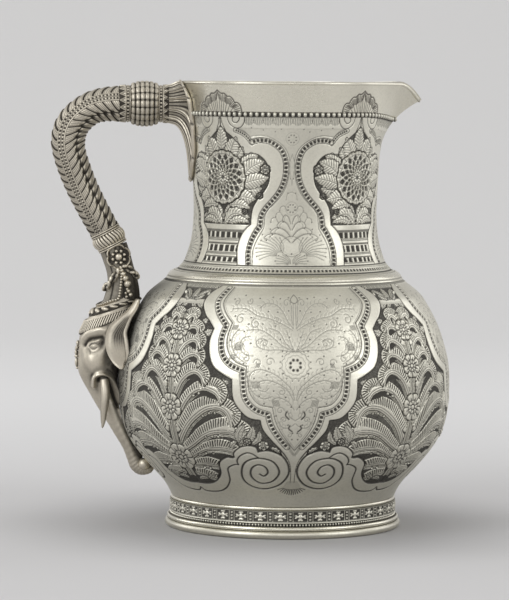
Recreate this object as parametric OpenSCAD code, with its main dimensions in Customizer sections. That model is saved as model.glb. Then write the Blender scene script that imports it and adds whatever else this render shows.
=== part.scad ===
// Silver water pitcher with a pouring lip and an elephant-head handle.
// Its pieces are raised, spun and cast apart from each other, then soldered together.
// Frame: millimetres, Z up, origin at the centre of the foot on the table,
// pouring lip towards +X, handle towards -X. The elephant faces -X, so its left is -Y.

/* [Vessel] */
// Radius of the belly at its widest
belly_r = 83.3; // [82.5:0.1:83.6]
// Height of the rim above the table
rim_z = 222; // [218:0.5:224]
// Radius of the rim away from the pouring lip
rim_r = 52; // [51:0.1:53]
// How far the tip of the pouring lip stands from the axis
lip_x = 68; // [64:0.5:72]
// How far the tip of the lip lies below the rim
lip_drop = 8.5; // [5:0.5:12]
// Thickness of the raised sheet
wall = 1.2; // [0.8:0.1:1.5]

/* [Foot] */
// Radius of the base ring
foot_r = 59; // [58:0.5:62]
// Height of the base ring
base_ring_h = 3.7; // [3:0.1:4]
// Thickness of the upright foot wall
foot_wall_t = 1.5; // [1:0.1:2]

/* [Handle] */
// Diameter of the melon knob
knob_d = 22; // [20:0.5:24]
// Length of the melon knob
knob_len = 14.5; // [13:0.5:14.5]
// Diameter of the rings on both sides of the knob
knob_ring_d = 18; // [16:0.5:19]
// Diameter of the reeded collar
collar_d = 16.8; // [15:0.2:18]
// Radius of the ball that the trunk holds
ball_r = 3; // [2.5:0.1:3]
// Radius of a tusk at its root
tusk_r = 2.8; // [2.4:0.1:3]
// Radius of the rope swags on the stem
swag_r = 1.9; // [1.5:0.1:2.1]
// Radius of the rosettes on the stem
rosette_r = 5.5; // [4.5:0.1:6]

/* [Hidden] */

$fn = 96;
silver = "silver";
old_silver = "#a89f8f";

// Gap left where a curved piece lies on the vessel, so that facets never cut into it
seat_gap = 0.05;

// ---------- vessel outline, as [radius, height] ----------
foot_top = 15.6;
seam_z = 126.2;
seam_r = 56.2;
bead_z = 206.2;
body_outline = [[56, foot_top], [59.9, 22.6], [69, 32.6], [76.6, 42.6], [81, 52.6], [82.8, 62.6],
    [belly_r, 72.6], [82.65, 82.6], [80.2, 92.6], [76.6, 102.6], [71.2, 112.6], [67.4, 117.6],
    [59.3, 124]];
neck_outline = [[seam_r, seam_z], [54, 128.5], [50.5, 132.6], [47.2, 142.6], [46, 152.6],
    [45.9, 162.6], [46.8, 182.6], [47.8, 192.6], [49.6, bead_z], [rim_r, rim_z]];

// Point at t on the smooth curve from b to c, with a before it and d after it
function curve_point(a, b, c, d, t) =
    0.5 * (2 * b + (c - a) * t + (2 * a - 5 * b + 4 * c - d) * t * t
    + (3 * b - a - 3 * c + d) * t * t * t);

// Smooth curve through a list of points, with n steps between neighbours
function smooth(p, n) = [
    for (i = [0 : len(p) - 2], k = [0 : n - 1])
        curve_point(p[max(i - 1, 0)], p[i], p[i + 1], p[min(i + 2, len(p) - 1)], k / n),
    p[len(p) - 1]];

function flip(p) = [for (i = [len(p) - 1 : -1 : 0]) p[i]];
function unit(v) = v / norm(v);

// Left-hand side of the step from point i of p to the next one, as a unit vector
function side(p, i) = let (d = p[min(i + 1, len(p) - 1)] - p[min(i, len(p) - 2)]) unit([-d[1], d[0]]);

// The outline p moved by d towards its left-hand side, with mitred corners
function inset(p, d) = [
    for (i = [0 : len(p) - 1])
        let (a = side(p, max(i - 1, 0)), b = side(p, i)) p[i] + d * (a + b) / (1 + a * b)];

body_curve = smooth(body_outline, 4);
neck_curve = smooth(neck_outline, 4);
function by_height(p) = [for (q = p) [q[1], q[0]]];
body_table = by_height(body_curve);
neck_table = by_height(neck_curve);
function body_radius(z) = lookup(z, body_table);

// ---------- pouring lip ----------
// The lip's sides leave the round rim along tangents that meet at the tip
lip_angle = acos(rim_r / lip_x);
// The surface is round below this height, all the way round
throat_z = 185;
function lip_radius(a) = abs(a) < lip_angle ? rim_r / cos(lip_angle - abs(a)) : rim_r;
function lip_share(a) = (lip_radius(a) - rim_r) / (lip_x - rim_r);

// Height of the rim at azimuth a: level, then falling along a curve to the tip
lip_level_x = 56.5;
function lip_height(a) = let (x = lip_radius(a) * cos(a))
    rim_z - lip_drop * pow(max(0, (x - lip_level_x) / (lip_x - lip_level_x)), 1.9);

// Radius of the neck and collar at azimuth a and height z
function vessel_radius(a, z) =
    let (top = lip_height(a), t = min(1, max(0, (z - throat_z) / (top - throat_z))))
    lookup(z, neck_table)
    + (lip_radius(a) - lookup(top, neck_table)) * (0.72 * pow(t, 3.5) + 0.28 * pow(t, 1.5))
    * (abs(a) < lip_angle ? 1 : 0);

// Height of the bead wire at azimuth a: it dips below the lip
function bead_height(a) = bead_z - 2.6 * pow(lip_share(a), 0.6);

// Azimuths of the faceted rings: closer together at the lip
azimuths = [for (a = [-45 : 3 : 42]) a, for (a = [45 : 5 : 310]) a];
function turn(a) = a > 180 ? a - 360 : a;
function at(a, r, z) = [r * cos(a), r * sin(a), z];

// ---------- solids from rings of points ----------
function quad(a, b, n, i, j) = [a + i, a + j, b + j, b + i];

// Solid through a list of closed rings, with both ends capped
module loft(rings) {
    n = len(rings[0]);
    last = len(rings) - 1;
    polyhedron(
        points = [for (r = rings, p = r) p],
        faces = [
            [for (i = [n - 1 : -1 : 0]) i],
            for (k = [0 : last - 1], i = [0 : n - 1]) quad(k * n, (k + 1) * n, n, i, (i + 1) % n),
            [for (i = [0 : n - 1]) last * n + i]],
        convexity = 6);
}

// Solid through a list of closed rings whose last ring joins the first
module closed_loft(rings) {
    n = len(rings[0]);
    m = len(rings);
    polyhedron(
        points = [for (r = rings, p = r) p],
        faces = [
            for (k = [0 : m - 1], i = [0 : n - 1])
                quad(k * n, ((k + 1) % m) * n, n, i, (i + 1) % n)],
        convexity = 8);
}

// ---------- handle ----------
knob_x = -71.6;
knob_z = 210.6;
ring_w = 2.2;
// Grip and stem: [x, z, half depth in the handle's plane, half width across it]
grip_path = [[-83.2, 210.5, 8.8, 8.6], [-90, 210.1, 8.4, 8.2], [-96.5, 208.4, 8.1, 8],
    [-102.6, 204.3, 8.2, 8], [-106.9, 198.8, 8.4, 8], [-108.5, 192, 8.4, 8],
    [-107.7, 185.5, 8.1, 7.9], [-104.9, 177, 8, 7.8], [-100.9, 167.5, 7.8, 7.7],
    [-96, 158, 7.6, 7.6], [-90.25, 147.6, 7.4, 7.4]];
collar_top = [-90.25, 147.6];
collar_foot = [-85.8, 139.05];
collar_dir = unit(collar_foot - collar_top);
collar_side = [collar_dir[1], -collar_dir[0]];
collar_tilt = atan2(collar_dir[0], collar_dir[1]);
stem_path = [[-85.8, 139.05, 7, 6.9], [-83.8, 133.4, 6.8, 6.7], [-82.2, 127.8, 6.8, 6.7],
    [-81.3, 122, 7.5, 7]];

// Head and trunk: [front x, front z, back x, back z, half width], from the nape to the
// trunk's tip. The front runs over the forehead and outside of the trunk.
head_path = [[-90.3, 112.6, -72.6, 116.2, 8.2], [-94.5, 108.5, -72.6, 114.4, 9.5],
    [-99.3, 102.2, -73.2, 111.4, 11], [-102.4, 95.2, -74.8, 107.4, 12],
    [-103.3, 88.5, -77.6, 100, 12.6], [-103.6, 82.5, -80.5, 90.5, 12.6],
    [-103.2, 77, -82.2, 81.5, 12], [-101.4, 72.6, -83.6, 75.5, 10.4],
    [-98, 66.4, -84.4, 69.8, 8.4], [-93.9, 58.8, -83, 63.8, 6.9],
    [-89.8, 51.8, -81, 56.4, 5.8], [-85.6, 44.4, -78.6, 48.6, 5], [-81.4, 37, -75.6, 40.4, 4.3],
    [-78, 31.4, -73.6, 34, 3.9], [-75.4, 27.2, -72.6, 29, 3.6], [-70.2, 24.1, -70, 27, 3.3],
    [-66.6, 24.8, -68, 27.1, 2.8], [-64.8, 27, -66.6, 27.9, 1.8]];

// Ring of n points about c: depth along u in the handle's plane, width across it
function oval(c, u, depth, width, n) = [
    for (i = [0 : n - 1])
        let (a = 360 * i / n) [c[0] + u[0] * depth * cos(a), width * sin(a), c[1] + u[1] * depth * cos(a)]];

// Rings along a path of [x, z, half depth, half width]
function path_rings(p, n) = [
    for (i = [0 : len(p) - 1])
        let (d = p[min(i + 1, len(p) - 1)] - p[max(i - 1, 0)], u = unit([d[1], -d[0]]))
        oval([p[i][0], p[i][1]], u, p[i][2], p[i][3], n)];

// The point pushed out of the body's surface, where it would lie inside
function clear_body(p) = let (r = norm([p[0], p[1]]), least = body_radius(p[2]) + seat_gap)
    p[2] < seam_z && r < least ? [p[0] * least / r, p[1] * least / r, p[2]] : p;

// One ring of the head, from its five measures, grown by g
function head_ring(m, g, n) = let (
    f = [m[0], m[1]], b = [m[2], m[3]], u = unit(f - b))
    [for (p = oval((f + b) / 2, u, norm(f - b) / 2 + g, m[4] + g, n)) clear_body(p)];

head_steps = 3;
head_curve = smooth(head_path, head_steps);
// The stem ends in the head's first ring
nape = head_path[0];
stem_curve = path_rings(smooth(stem_path, 3), 24);
stem_rings = concat([oval(collar_foot, collar_side, stem_path[0][2], stem_path[0][3], 24)],
    [for (i = [1 : len(stem_curve) - 1]) stem_curve[i]], [head_ring(nape, 0, 24)]);

// Point on the head at station s and angle a from its front, lifted by g
function on_head(s, a, g) =
    let (m = head_curve[round(s * head_steps)], f = [m[0], m[1]], b = [m[2], m[3]], u = unit(f - b),
        c = (f + b) / 2, d = norm(f - b) / 2 + g)
    [c[0] + u[0] * d * cos(a), (m[4] + g) * sin(a), c[1] + u[1] * d * cos(a)];

// Solid tube along 3-D points, with n sides, of radius r everywhere
// or of radius r[i] at point i when r is a list. The path never runs along across.
module tube(p, r, n, across = [0, 0, 1]) {
    function round_ring(c, u, v, rad) = [
        for (k = [0 : n - 1]) c + rad * (u * cos(360 * k / n) + v * sin(360 * k / n))];
    loft([for (i = [0 : len(p) - 1])
        let (t = unit(p[min(i + 1, len(p) - 1)] - p[max(i - 1, 0)]), u = unit(cross(t, across)))
        round_ring(p[i], u, cross(u, t), is_list(r) ? r[i] : r)]);
}

module mirrored_y() mirror([0, 1, 0]) children();

// ---------- the vessel ----------
// Raised body with its floor: the outer outline runs from the floor's centre to the seam
module body_shell() {
    outer = concat([[0, foot_top + 2.4], [30, foot_top + 1.8], [50, foot_top]], body_curve,
        [[seam_r, seam_z]]);
    inner = inset(outer, wall);
    lip = [seam_r - 1.73 * wall, seam_z];
    color(silver) rotate_extrude($fn = 180)
        polygon(concat(outer, [lip], flip([for (i = [1 : len(inner) - 2]) inner[i]]),
            [[0, foot_top + 2.4 + wall]]));
}

// Sheet from the seam up to the bead wire, or from there up to the rim when is_collar.
// shares are the heights of its rings, from 0 at its lower edge to 1 at its upper edge.
module neck_part(shares, is_collar) {
    function z_at(a, s) = let (low = is_collar ? bead_height(a) : seam_z,
        high = is_collar ? lip_height(a) : bead_height(a)) low + (high - low) * s;
    // Level thickness of the sheet: more where the sheet slopes
    function sheet(a, z) = wall * (1 + 0.38 * max(0, (132 - z) / 6)
        + 1.1 * lip_share(a) * pow(max(0, (z - throat_z) / (rim_z - lip_drop - throat_z)), 3));
    function layer(a, s, inside) = let (z = z_at(a, s)) at(a, vessel_radius(a, z) - inside * sheet(a, z), z);
    closed_loft([
        for (q = azimuths)
            let (a = turn(q))
            concat([for (s = shares) layer(a, s, 0)], [for (s = flip(shares)) layer(a, s, 1)])]);
}

module neck_shell() {
    color(silver) neck_part([0, 0.03, 0.06, 0.09, 0.13, 0.2, 0.3, 0.45, 0.6, 0.74, 0.82, 0.9, 1], false);
}

module rim_collar() {
    color(silver) neck_part([0, 0.2, 0.4, 0.6, 0.8, 1], true);
}

// Half-round wire that hides the seam between the neck and the collar
module neck_bead_wire() {
    wire_r = 1.1;
    color(silver) closed_loft([
        for (q = azimuths)
            let (a = turn(q), z = bead_height(a), foot = vessel_radius(a, z) + seat_gap)
            [for (k = [-90 : 30 : 90]) at(a, foot + 0.04 + 1.5 * wire_r * cos(k), z + wire_r * sin(k))]]);
}

// Convex moulding over the seam between the body and the neck
module shoulder_band() {
    low = [59.3, 124];
    high = [54, 128.5];
    out = unit([high[1] - low[1], low[0] - high[0]]);
    color(silver) rotate_extrude($fn = 180)
        polygon(concat([for (t = [0 : 0.1 : 1]) low + (high - low) * t + 1.1 * sin(180 * t) * out],
            [[seam_r, seam_z]]));
}

// ---------- the foot ----------
foot_core_r = 54.3;

module ring_of(p) rotate_extrude($fn = 180) polygon(p);

module foot_wall() {
    color(silver) ring_of([[foot_core_r - foot_wall_t, base_ring_h], [foot_core_r, base_ring_h],
        [foot_core_r, foot_top], [foot_core_r - foot_wall_t, foot_top]]);
}

module foot_top_moulding() {
    low = 13.6;
    round_r = (foot_top - low) / 2;
    color(silver) ring_of(concat([[foot_core_r, foot_top]],
        [for (a = [90 : -20 : -90]) [foot_core_r + 1 + round_r * cos(a), low + round_r * (1 + sin(a))]],
        [[foot_core_r, low]]));
}

module foot_frieze() {
    color(silver) ring_of([[foot_core_r, 8.1], [56.8, 8.1], [56.8, 8.8], [56.3, 9], [56.3, 12.7],
        [56.6, 12.9], [56.6, 13.6], [foot_core_r, 13.6]]);
}

module foot_bead_wire() {
    color(silver) ring_of(concat([[foot_core_r, 5.9]],
        [for (a = [-90 : 20 : 90]) [56.4 + 0.8 * cos(a), 6.7 + 0.8 * sin(a)]],
        [[56.6, 7.5], [56.6, 8.1], [foot_core_r, 8.1]]));
}

module foot_step_moulding() {
    color(silver) ring_of([[foot_core_r, base_ring_h], [57.2, base_ring_h], [57.2, 4.1],
        [58.1, 4.4], [58, 5], [57.4, 5.9], [foot_core_r, 5.9]]);
}

module foot_base_ring() {
    round_r = base_ring_h / 2;
    color(silver) ring_of(concat([[foot_core_r - foot_wall_t, 0]],
        [for (a = [-90 : 15 : 90]) [foot_r - round_r + round_r * cos(a), round_r + round_r * sin(a)]],
        [[foot_core_r - foot_wall_t, base_ring_h]]));
}

// ---------- upper end of the handle ----------
// Trumpet that spreads into a leaf-shaped plate on the neck. Each row gives the distance
// of its ring from the neck, then its reach upwards, sideways and downwards from the axis.
socket_rows = [[8, 9.4, 9, 9.8], [5.6, 10, 9.3, 11.4], [4, 10.7, 10, 14],
    [2.9, 11.2, 11, 18], [2.3, 11.4, 11.8, 23], [2, 11.4, 12.4, 29], [1.8, 11.4, 12.5, 36],
    [0, 11.4, 12.5, 38.4]];
// The plate's back lies on the curved neck, so its last rings shrink to the middle
socket_back = [0.7, 0.4, 0.1];
socket_last = socket_rows[len(socket_rows) - 1];
socket_end_x = -60.4;

module handle_socket() {
    n = 40;
    // Reach of a ring at angle a from straight up: a leaf that is pointed at the bottom
    function reach(row, a) = a < 90 || a > 270
        ? 1 / sqrt(pow(cos(a) / row[1], 2) + pow(sin(a) / row[2], 2))
        : 1 / pow(pow(-cos(a) / row[3], 1.55) + pow(abs(sin(a)) / row[2], 1.55), 1 / 1.55);
    function plate(row, a, share = 1) = let (
        r = share * reach(row, a), y = r * sin(a), z = min(rim_z + 0.6, knob_z + r * cos(a)),
        s = vessel_radius(180, min(z, rim_z)) + seat_gap) [-sqrt(s * s - y * y) - row[0], y, z];
    function end(a) = [socket_end_x, knob_ring_d / 2 * sin(a), knob_z + knob_ring_d / 2 * cos(a)];
    color(old_silver) loft(concat(
        [[for (i = [0 : n - 1]) end(360 * i / n)]],
        [for (row = socket_rows) [for (i = [0 : n - 1]) plate(row, 360 * i / n)]],
        [for (k = socket_back) [for (i = [0 : n - 1]) plate(socket_last, 360 * i / n, k)]]));
}

module along_x(x) translate([x, 0, knob_z]) rotate([0, 90, 0]) children();

// Ring whose rim swells by half its width, lying along the handle's axis
module swelling_ring(d, w) {
    rotate_extrude() polygon(concat([[0, 0], [d / 2 - 0.6, 0]],
        [for (a = [-60 : 20 : 60]) [d / 2 - 0.6 + w / 2 * cos(a) * 0.8, w / 2 + w / 2 * sin(a) * 1.1]],
        [[d / 2 - 0.6, w], [0, w]]));
}

socket_tooth_x = socket_end_x - 1.6;
socket_bead_x = knob_x + knob_len / 2;

module socket_tooth_ring() {
    color(old_silver) along_x(socket_tooth_x) cylinder(h = socket_end_x - socket_tooth_x, d = knob_ring_d);
}

module socket_bead_ring() {
    color(old_silver) along_x(socket_bead_x) swelling_ring(knob_ring_d, socket_tooth_x - socket_bead_x);
}

// Melon knob: an ellipse cut off where its end rings meet it
module melon_knob() {
    end_r = knob_ring_d / 2 - 0.6;
    span = acos(end_r * 2 / knob_d);
    color(old_silver) along_x(knob_x) rotate_extrude()
        polygon(concat([[0, -knob_len / 2]],
            [for (a = [-span : span / 8 : span]) [knob_d / 2 * cos(a), knob_len / 2 * sin(a) / sin(span)]],
            [[0, knob_len / 2]]));
}

grip_bead_x = knob_x - knob_len / 2 - ring_w;
grip_tooth_x = grip_path[0][0];

module grip_bead_ring() {
    color(old_silver) along_x(grip_bead_x) swelling_ring(knob_ring_d, ring_w);
}

module grip_tooth_ring() {
    color(old_silver) along_x(grip_tooth_x) cylinder(h = grip_bead_x - grip_tooth_x, d = knob_ring_d);
}

// The grip's ends are cut square to the tooth ring and to the collar
module handle_grip() {
    n = 24;
    rings = path_rings(smooth(grip_path, 3), n);
    first = grip_path[0];
    last = grip_path[len(grip_path) - 1];
    color(old_silver) loft(concat(
        [oval([first[0], first[1]], [0, 1], first[2], first[3], n)],
        [for (i = [1 : len(rings) - 2]) rings[i]],
        [oval(collar_top, collar_side, last[2], last[3], n)]));
}

// ---------- collar below the grip ----------
collar_len = norm(collar_foot - collar_top);
collar_ring_h = 2;

// Places a piece that is drawn up its own Z axis at distance s down the collar
module on_collar(s) {
    p = collar_top + collar_dir * s;
    translate([p[0], 0, p[1]]) rotate([0, collar_tilt, 0]) children();
}

module double_ring(d) {
    bead = collar_ring_h / 4;
    rotate_extrude() polygon(concat([[0, 0]],
        [for (k = [0, 1], a = [-80 : 40 : 80]) [d / 2 - bead + bead * cos(a), bead * (1 + 2 * k + sin(a))]],
        [[0, collar_ring_h]]));
}

module collar_top_ring() color(old_silver) on_collar(0) double_ring(15.4);

module reeded_collar() {
    len_mid = collar_len - 2 * collar_ring_h;
    core_r = collar_d / 2 - 0.5;
    color(old_silver) on_collar(collar_ring_h) rotate_extrude()
        polygon(concat([[0, 0]],
            [for (t = [0 : 0.125 : 1]) [core_r - 1 + 1.5 * sin(180 * t), len_mid * t]],
            [[0, len_mid]]));
}

module collar_bottom_ring() color(old_silver) on_collar(collar_len - collar_ring_h) double_ring(15);

module handle_stem() color(old_silver) loft(stem_rings);

// ---------- elephant head ----------
module elephant_head() {
    color(old_silver) loft([for (m = head_curve) head_ring(m, 0, 24)]);
}

// Ear as a bent leaf: [height, front x, front y, rear x, rear y] on the -Y side
ear_rows = [[112, -75.6, -9.2, -73.2, -10], [107.5, -79.5, -10.6, -74.6, -14],
    [102.5, -84, -11.9, -76.6, -18], [97, -87.8, -12.6, -78.8, -21],
    [91.5, -89.4, -12.9, -79.6, -23], [87, -88.4, -13, -79.6, -23.6],
    [82.5, -86.2, -13.4, -80.4, -22.4], [79.4, -84, -14.8, -81.6, -19.6],
    [78, -82.9, -16.4, -82.2, -17.8]];
ear_t = 1.7;

module left_ear() {
    n = 16;
    function ear_ring(m) =
        let (f = [m[1], m[2]], r = [m[3], m[4]], c = (f + r) / 2, u = unit(f - r), v = [-u[1], u[0]],
            h = norm(f - r) / 2)
        [for (i = [0 : n - 1])
            let (a = 360 * i / n, bow = 0.12 * h * pow(cos(a), 2),
                q = c + u * h * cos(a) - v * (ear_t / 2 * sin(a) + bow))
            clear_body([q[0], q[1], m[0]])];
    color(old_silver) loft([for (m = smooth(ear_rows, 2)) ear_ring(m)]);
}

module right_ear() mirrored_y() left_ear();

// Tusk: [x, y, z, radius as a share of the root's]
tusk_path = [[-90.4, -9.2, 76, 1], [-89.8, -10.3, 70, 1], [-89.2, -10.9, 64.5, 0.88],
    [-89.4, -10.8, 59, 0.7], [-90.1, -10.2, 53.6, 0.48], [-90.9, -9.6, 49.3, 0.18]];

module left_tusk() {
    q = smooth(tusk_path, 3);
    color(old_silver) tube([for (p = q) [p[0], p[1], p[2]]], [for (p = q) tusk_r * p[3]], 12);
}

module right_tusk() mirrored_y() left_tusk();

module trunk_ball() color(old_silver) translate([-70, 0, 30.2]) sphere(r = ball_r);

// ---------- headdress ----------
// Closed band round the head between two stations, g_out thick
module head_band(from, to, g_out) {
    n = 24;
    function ring_at(s, g) = head_ring(head_curve[round(s * head_steps)], g, n);
    low = ring_at(from, seat_gap);
    high = ring_at(to, seat_gap);
    low_out = ring_at(from, g_out);
    high_out = ring_at(to, g_out);
    closed_loft([for (i = [0 : n - 1]) [low[i], low_out[i], high_out[i], high[i]]]);
}

module headdress_fringe() color(old_silver) head_band(2, 3, 0.8);
module headdress_rope() color(old_silver) head_band(1, 1.6667, 1.3);

// String of beads from one rosette over the brow to the other
string_path = [[0.6667, 0], [0.6667, 30], [0.6667, 60], [0.3333, 80], [0, 95]];

module headdress_beads() {
    half = concat([[-82.6, -7.7, 128], [-82.2, -8, 122]],
        flip([for (p = string_path) on_head(p[0], -p[1], 0.7)]));
    other = [for (p = flip(half)) [p[0], -p[1], p[2]]];
    run = smooth(concat(half, [for (i = [1 : len(other) - 1]) other[i]]), 3);
    color(old_silver) tube(run, 0.7, 8, [1, 0, 0]);
}

// ---------- ornaments on the stem ----------
rosette_at = [-83.2, 134.4];

module left_rosette() {
    color(old_silver) translate([rosette_at[0], -5.4, rosette_at[1]]) rotate([90, 0, 0]) {
        cylinder(h = 1.9, r = rosette_r);
        translate([0, 0, 2.1]) sphere(r = 1.5);
    }
}

module right_rosette() mirrored_y() left_rosette();

// Half of a swag, from under the left rosette to the handle's plane
outer_swag_path = [[-84, -7.4, 129], [-86.6, -6.8, 126], [-88.9, -4.4, 123.2], [-89.9, 0, 121.4]];
inner_swag_path = [[-80.6, -7.2, 130], [-77.6, -5.8, 128.4], [-75.6, -3.4, 126.8], [-74.9, 0, 126]];

module swag(half) {
    other = [for (p = flip(half)) [p[0], -p[1], p[2]]];
    run = smooth(concat(half, [for (i = [1 : len(other) - 1]) other[i]]), 3);
    color(old_silver) tube(run, swag_r, 10);
}

module outer_swag() swag(outer_swag_path);
module inner_swag() swag(inner_swag_path);

// Five beads that grow towards the lower end
module left_pendant() {
    top = [-82.2, -7.4, 129];
    foot = [-78.6, -8.2, 121];
    color(old_silver) for (k = [0 : 4])
        translate(top + (foot - top) * k / 4) sphere(r = 1.15 + 0.2 * k, $fn = 24);
}

module right_pendant() mirrored_y() left_pendant();

// Small chain and drop down the middle of the forehead
module forehead_jewel() {
    color(old_silver) {
        for (z = [91.5 : -1.7 : 86.4]) translate([-103.9, 0, z]) sphere(r = 1.1, $fn = 24);
        translate([-104, 0, 79.4]) cylinder(h = 5.4, r1 = 0.9, r2 = 1.3, $fn = 24);
        translate([-104, 0, 79.4]) sphere(r = 0.9, $fn = 24);
        translate([-104, 0, 84.8]) sphere(r = 1.3, $fn = 24);
    }
}

body_shell();
neck_shell();
rim_collar();
neck_bead_wire();
shoulder_band();
foot_wall();
foot_top_moulding();
foot_frieze();
foot_bead_wire();
foot_step_moulding();
foot_base_ring();
handle_socket();
socket_tooth_ring();
socket_bead_ring();
melon_knob();
grip_bead_ring();
grip_tooth_ring();
handle_grip();
collar_top_ring();
reeded_collar();
collar_bottom_ring();
handle_stem();
elephant_head();
left_ear();
right_ear();
left_tusk();
right_tusk();
trunk_ball();
headdress_fringe();
headdress_rope();
headdress_beads();
left_rosette();
right_rosette();
outer_swag();
inner_swag();
left_pendant();
right_pendant();
forehead_jewel();
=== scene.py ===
"""Silver water pitcher with a chased body and an elephant-head handle.

Lengths are in millimetres in the row's own frame (Z up, the lip toward +X, the handle toward -X)
and become metres when a mesh is made. Angles on the vessel are in degrees from -Y, turning to +X.
"""

import math

import bpy
import numpy as np
from mathutils import Matrix, Vector


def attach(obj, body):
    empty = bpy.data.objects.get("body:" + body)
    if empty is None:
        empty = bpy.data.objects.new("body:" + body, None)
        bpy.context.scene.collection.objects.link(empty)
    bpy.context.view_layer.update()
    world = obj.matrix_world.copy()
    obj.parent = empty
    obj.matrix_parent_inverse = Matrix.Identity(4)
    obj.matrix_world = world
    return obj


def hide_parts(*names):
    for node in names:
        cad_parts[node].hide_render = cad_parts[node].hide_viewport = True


MM = 0.001
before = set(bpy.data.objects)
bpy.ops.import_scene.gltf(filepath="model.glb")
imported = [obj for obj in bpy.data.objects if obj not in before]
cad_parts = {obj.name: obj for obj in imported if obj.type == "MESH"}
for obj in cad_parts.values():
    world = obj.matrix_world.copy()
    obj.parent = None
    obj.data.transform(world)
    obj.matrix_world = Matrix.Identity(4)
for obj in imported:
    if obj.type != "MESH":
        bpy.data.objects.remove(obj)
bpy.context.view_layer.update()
rng = np.random.default_rng(7)

# ---------------------------------------------------------------- measures shared with the CAD model
FOOT_TOP = 15.6
SEAM_Z = 126.2
SEAM_R = 56.2
BEAD_Z = 206.2
RIM_Z = 222.0
RIM_R = 52.0
LIP_X = 68.0
LIP_DROP = 8.5
LIP_LEVEL_X = 56.5
THROAT_Z = 185.0
WALL = 1.2
BODY_OUTLINE = [(56, 15.6), (59.9, 22.6), (69, 32.6), (76.6, 42.6), (81, 52.6), (82.8, 62.6),
                (83.3, 72.6), (82.65, 82.6), (80.2, 92.6), (76.6, 102.6), (71.2, 112.6),
                (67.4, 117.6), (59.3, 124)]
NECK_OUTLINE = [(56.2, 126.2), (54, 128.5), (50.5, 132.6), (47.2, 142.6), (46, 152.6),
                (45.9, 162.6), (46.8, 182.6), (47.8, 192.6), (49.6, 206.2), (52, 222)]


# ---------------------------------------------------------------- curves
def smooth(points, steps=6):
    """Smooth curve through the points, with that many steps between neighbours."""
    p = np.array(points, float)
    last = len(p) - 1
    out = []
    for i in range(last):
        a, b, c, d = p[max(i - 1, 0)], p[i], p[i + 1], p[min(i + 2, last)]
        for k in range(steps):
            t = k / steps
            out.append(0.5 * (2 * b + (c - a) * t + (2 * a - 5 * b + 4 * c - d) * t * t
                              + (3 * b - a - 3 * c + d) * t ** 3))
    out.append(p[last])
    return np.array(out)


def joined(*parts):
    """Curves joined at cusps: each part is smooth, and the corners between them stay sharp."""
    return np.concatenate([smooth(part) for part in parts])


BODY = np.vstack([smooth(BODY_OUTLINE, 4), [(SEAM_R, SEAM_Z)]])
NECK = smooth(NECK_OUTLINE, 4)


def body_radius(z):
    return np.interp(z, BODY[:, 1], BODY[:, 0])


def neck_radius(z):
    return np.interp(z, NECK[:, 1], NECK[:, 0])


def step(x, low, high):
    """0 below low, 1 above high, smooth between."""
    t = np.clip((x - low) / (high - low), 0, 1)
    return t * t * (3 - 2 * t)


def fade(x, low, high):
    """1 below low, 0 above high, smooth between."""
    return 1 - step(x, low, high)


def bump(x, middle, width):
    """Bell curve: 1 at its middle, about a third at its width to either side."""
    return np.exp(-((x - middle) / width) ** 2)


def circle(count):
    """Evenly spaced angles of a full turn, in radians."""
    return np.linspace(0, 2 * math.pi, count, endpoint=False)


def lengths(points):
    """Length along a line of points, from 0 at the first."""
    return np.concatenate([[0], np.cumsum(np.linalg.norm(np.diff(points, axis=0), axis=1))])


def unit(vectors):
    return vectors / np.linalg.norm(vectors, axis=-1, keepdims=True)


# Azimuths of the lip functions are in radians from +X
LIP_ANGLE = math.acos(RIM_R / LIP_X)


def lip_radius(a):
    inside = np.abs(a) < LIP_ANGLE
    return np.where(inside, RIM_R / np.cos(np.where(inside, LIP_ANGLE - np.abs(a), 0)), RIM_R)


def lip_share(a):
    return (lip_radius(a) - RIM_R) / (LIP_X - RIM_R)


def lip_height(a):
    x = lip_radius(a) * np.cos(a)
    return RIM_Z - LIP_DROP * np.clip((x - LIP_LEVEL_X) / (LIP_X - LIP_LEVEL_X), 0, 1) ** 1.9


def vessel_radius(a, z):
    top = lip_height(a)
    t = np.clip((z - THROAT_Z) / (top - THROAT_Z), 0, 1)
    flare = 0.72 * t ** 3.5 + 0.28 * t ** 1.5
    return neck_radius(z) + (lip_radius(a) - neck_radius(top)) * flare * (np.abs(a) < LIP_ANGLE)


def bead_height(a):
    return BEAD_Z - 2.6 * lip_share(a) ** 0.6


# ---------------------------------------------------------------- meshes
def make_mesh(name, verts, faces, patina_and_shade=None, sharp=40):
    """One closed piece from points in mm. faces is a list of index arrays, all quads or all triangles."""
    mesh = bpy.data.meshes.new(name)
    verts = np.asarray(verts, float)
    mesh.vertices.add(len(verts))
    mesh.vertices.foreach_set("co", (verts * MM).astype(np.float32).ravel())
    faces = [np.asarray(f, np.int64) for f in faces if len(f)]
    corners = np.concatenate([f.ravel() for f in faces])
    sizes = np.concatenate([np.full(len(f), f.shape[1]) for f in faces])
    starts = np.concatenate([[0], np.cumsum(sizes)[:-1]])
    mesh.loops.add(len(corners))
    mesh.loops.foreach_set("vertex_index", corners.astype(np.int32))
    mesh.polygons.add(len(starts))
    mesh.polygons.foreach_set("loop_start", starts.astype(np.int32))
    mesh.update(calc_edges=True)
    mesh.polygons.foreach_set("use_smooth", np.ones(len(starts), bool))
    if sharp:
        mesh.set_sharp_from_angle(angle=math.radians(sharp))
    values = np.zeros(len(verts)) if patina_and_shade is None else np.clip(patina_and_shade, 0, 1)
    # The patina attribute holds patina in the hollows and also painted shade and painted highlights.
    attribute = mesh.attributes.new("patina_and_shade", "FLOAT", "POINT")
    attribute.data.foreach_set("value", values.astype(np.float32))
    obj = bpy.data.objects.new(name, mesh)
    bpy.context.scene.collection.objects.link(obj)
    return obj


def place(obj, material, slot, *nodes):
    """Gives a piece its material and its body, and hides the CAD nodes it stands for. slot is not used."""
    obj.data.materials.append(material)
    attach(obj, "root")
    if nodes:
        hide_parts(*nodes)
    return obj


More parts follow.
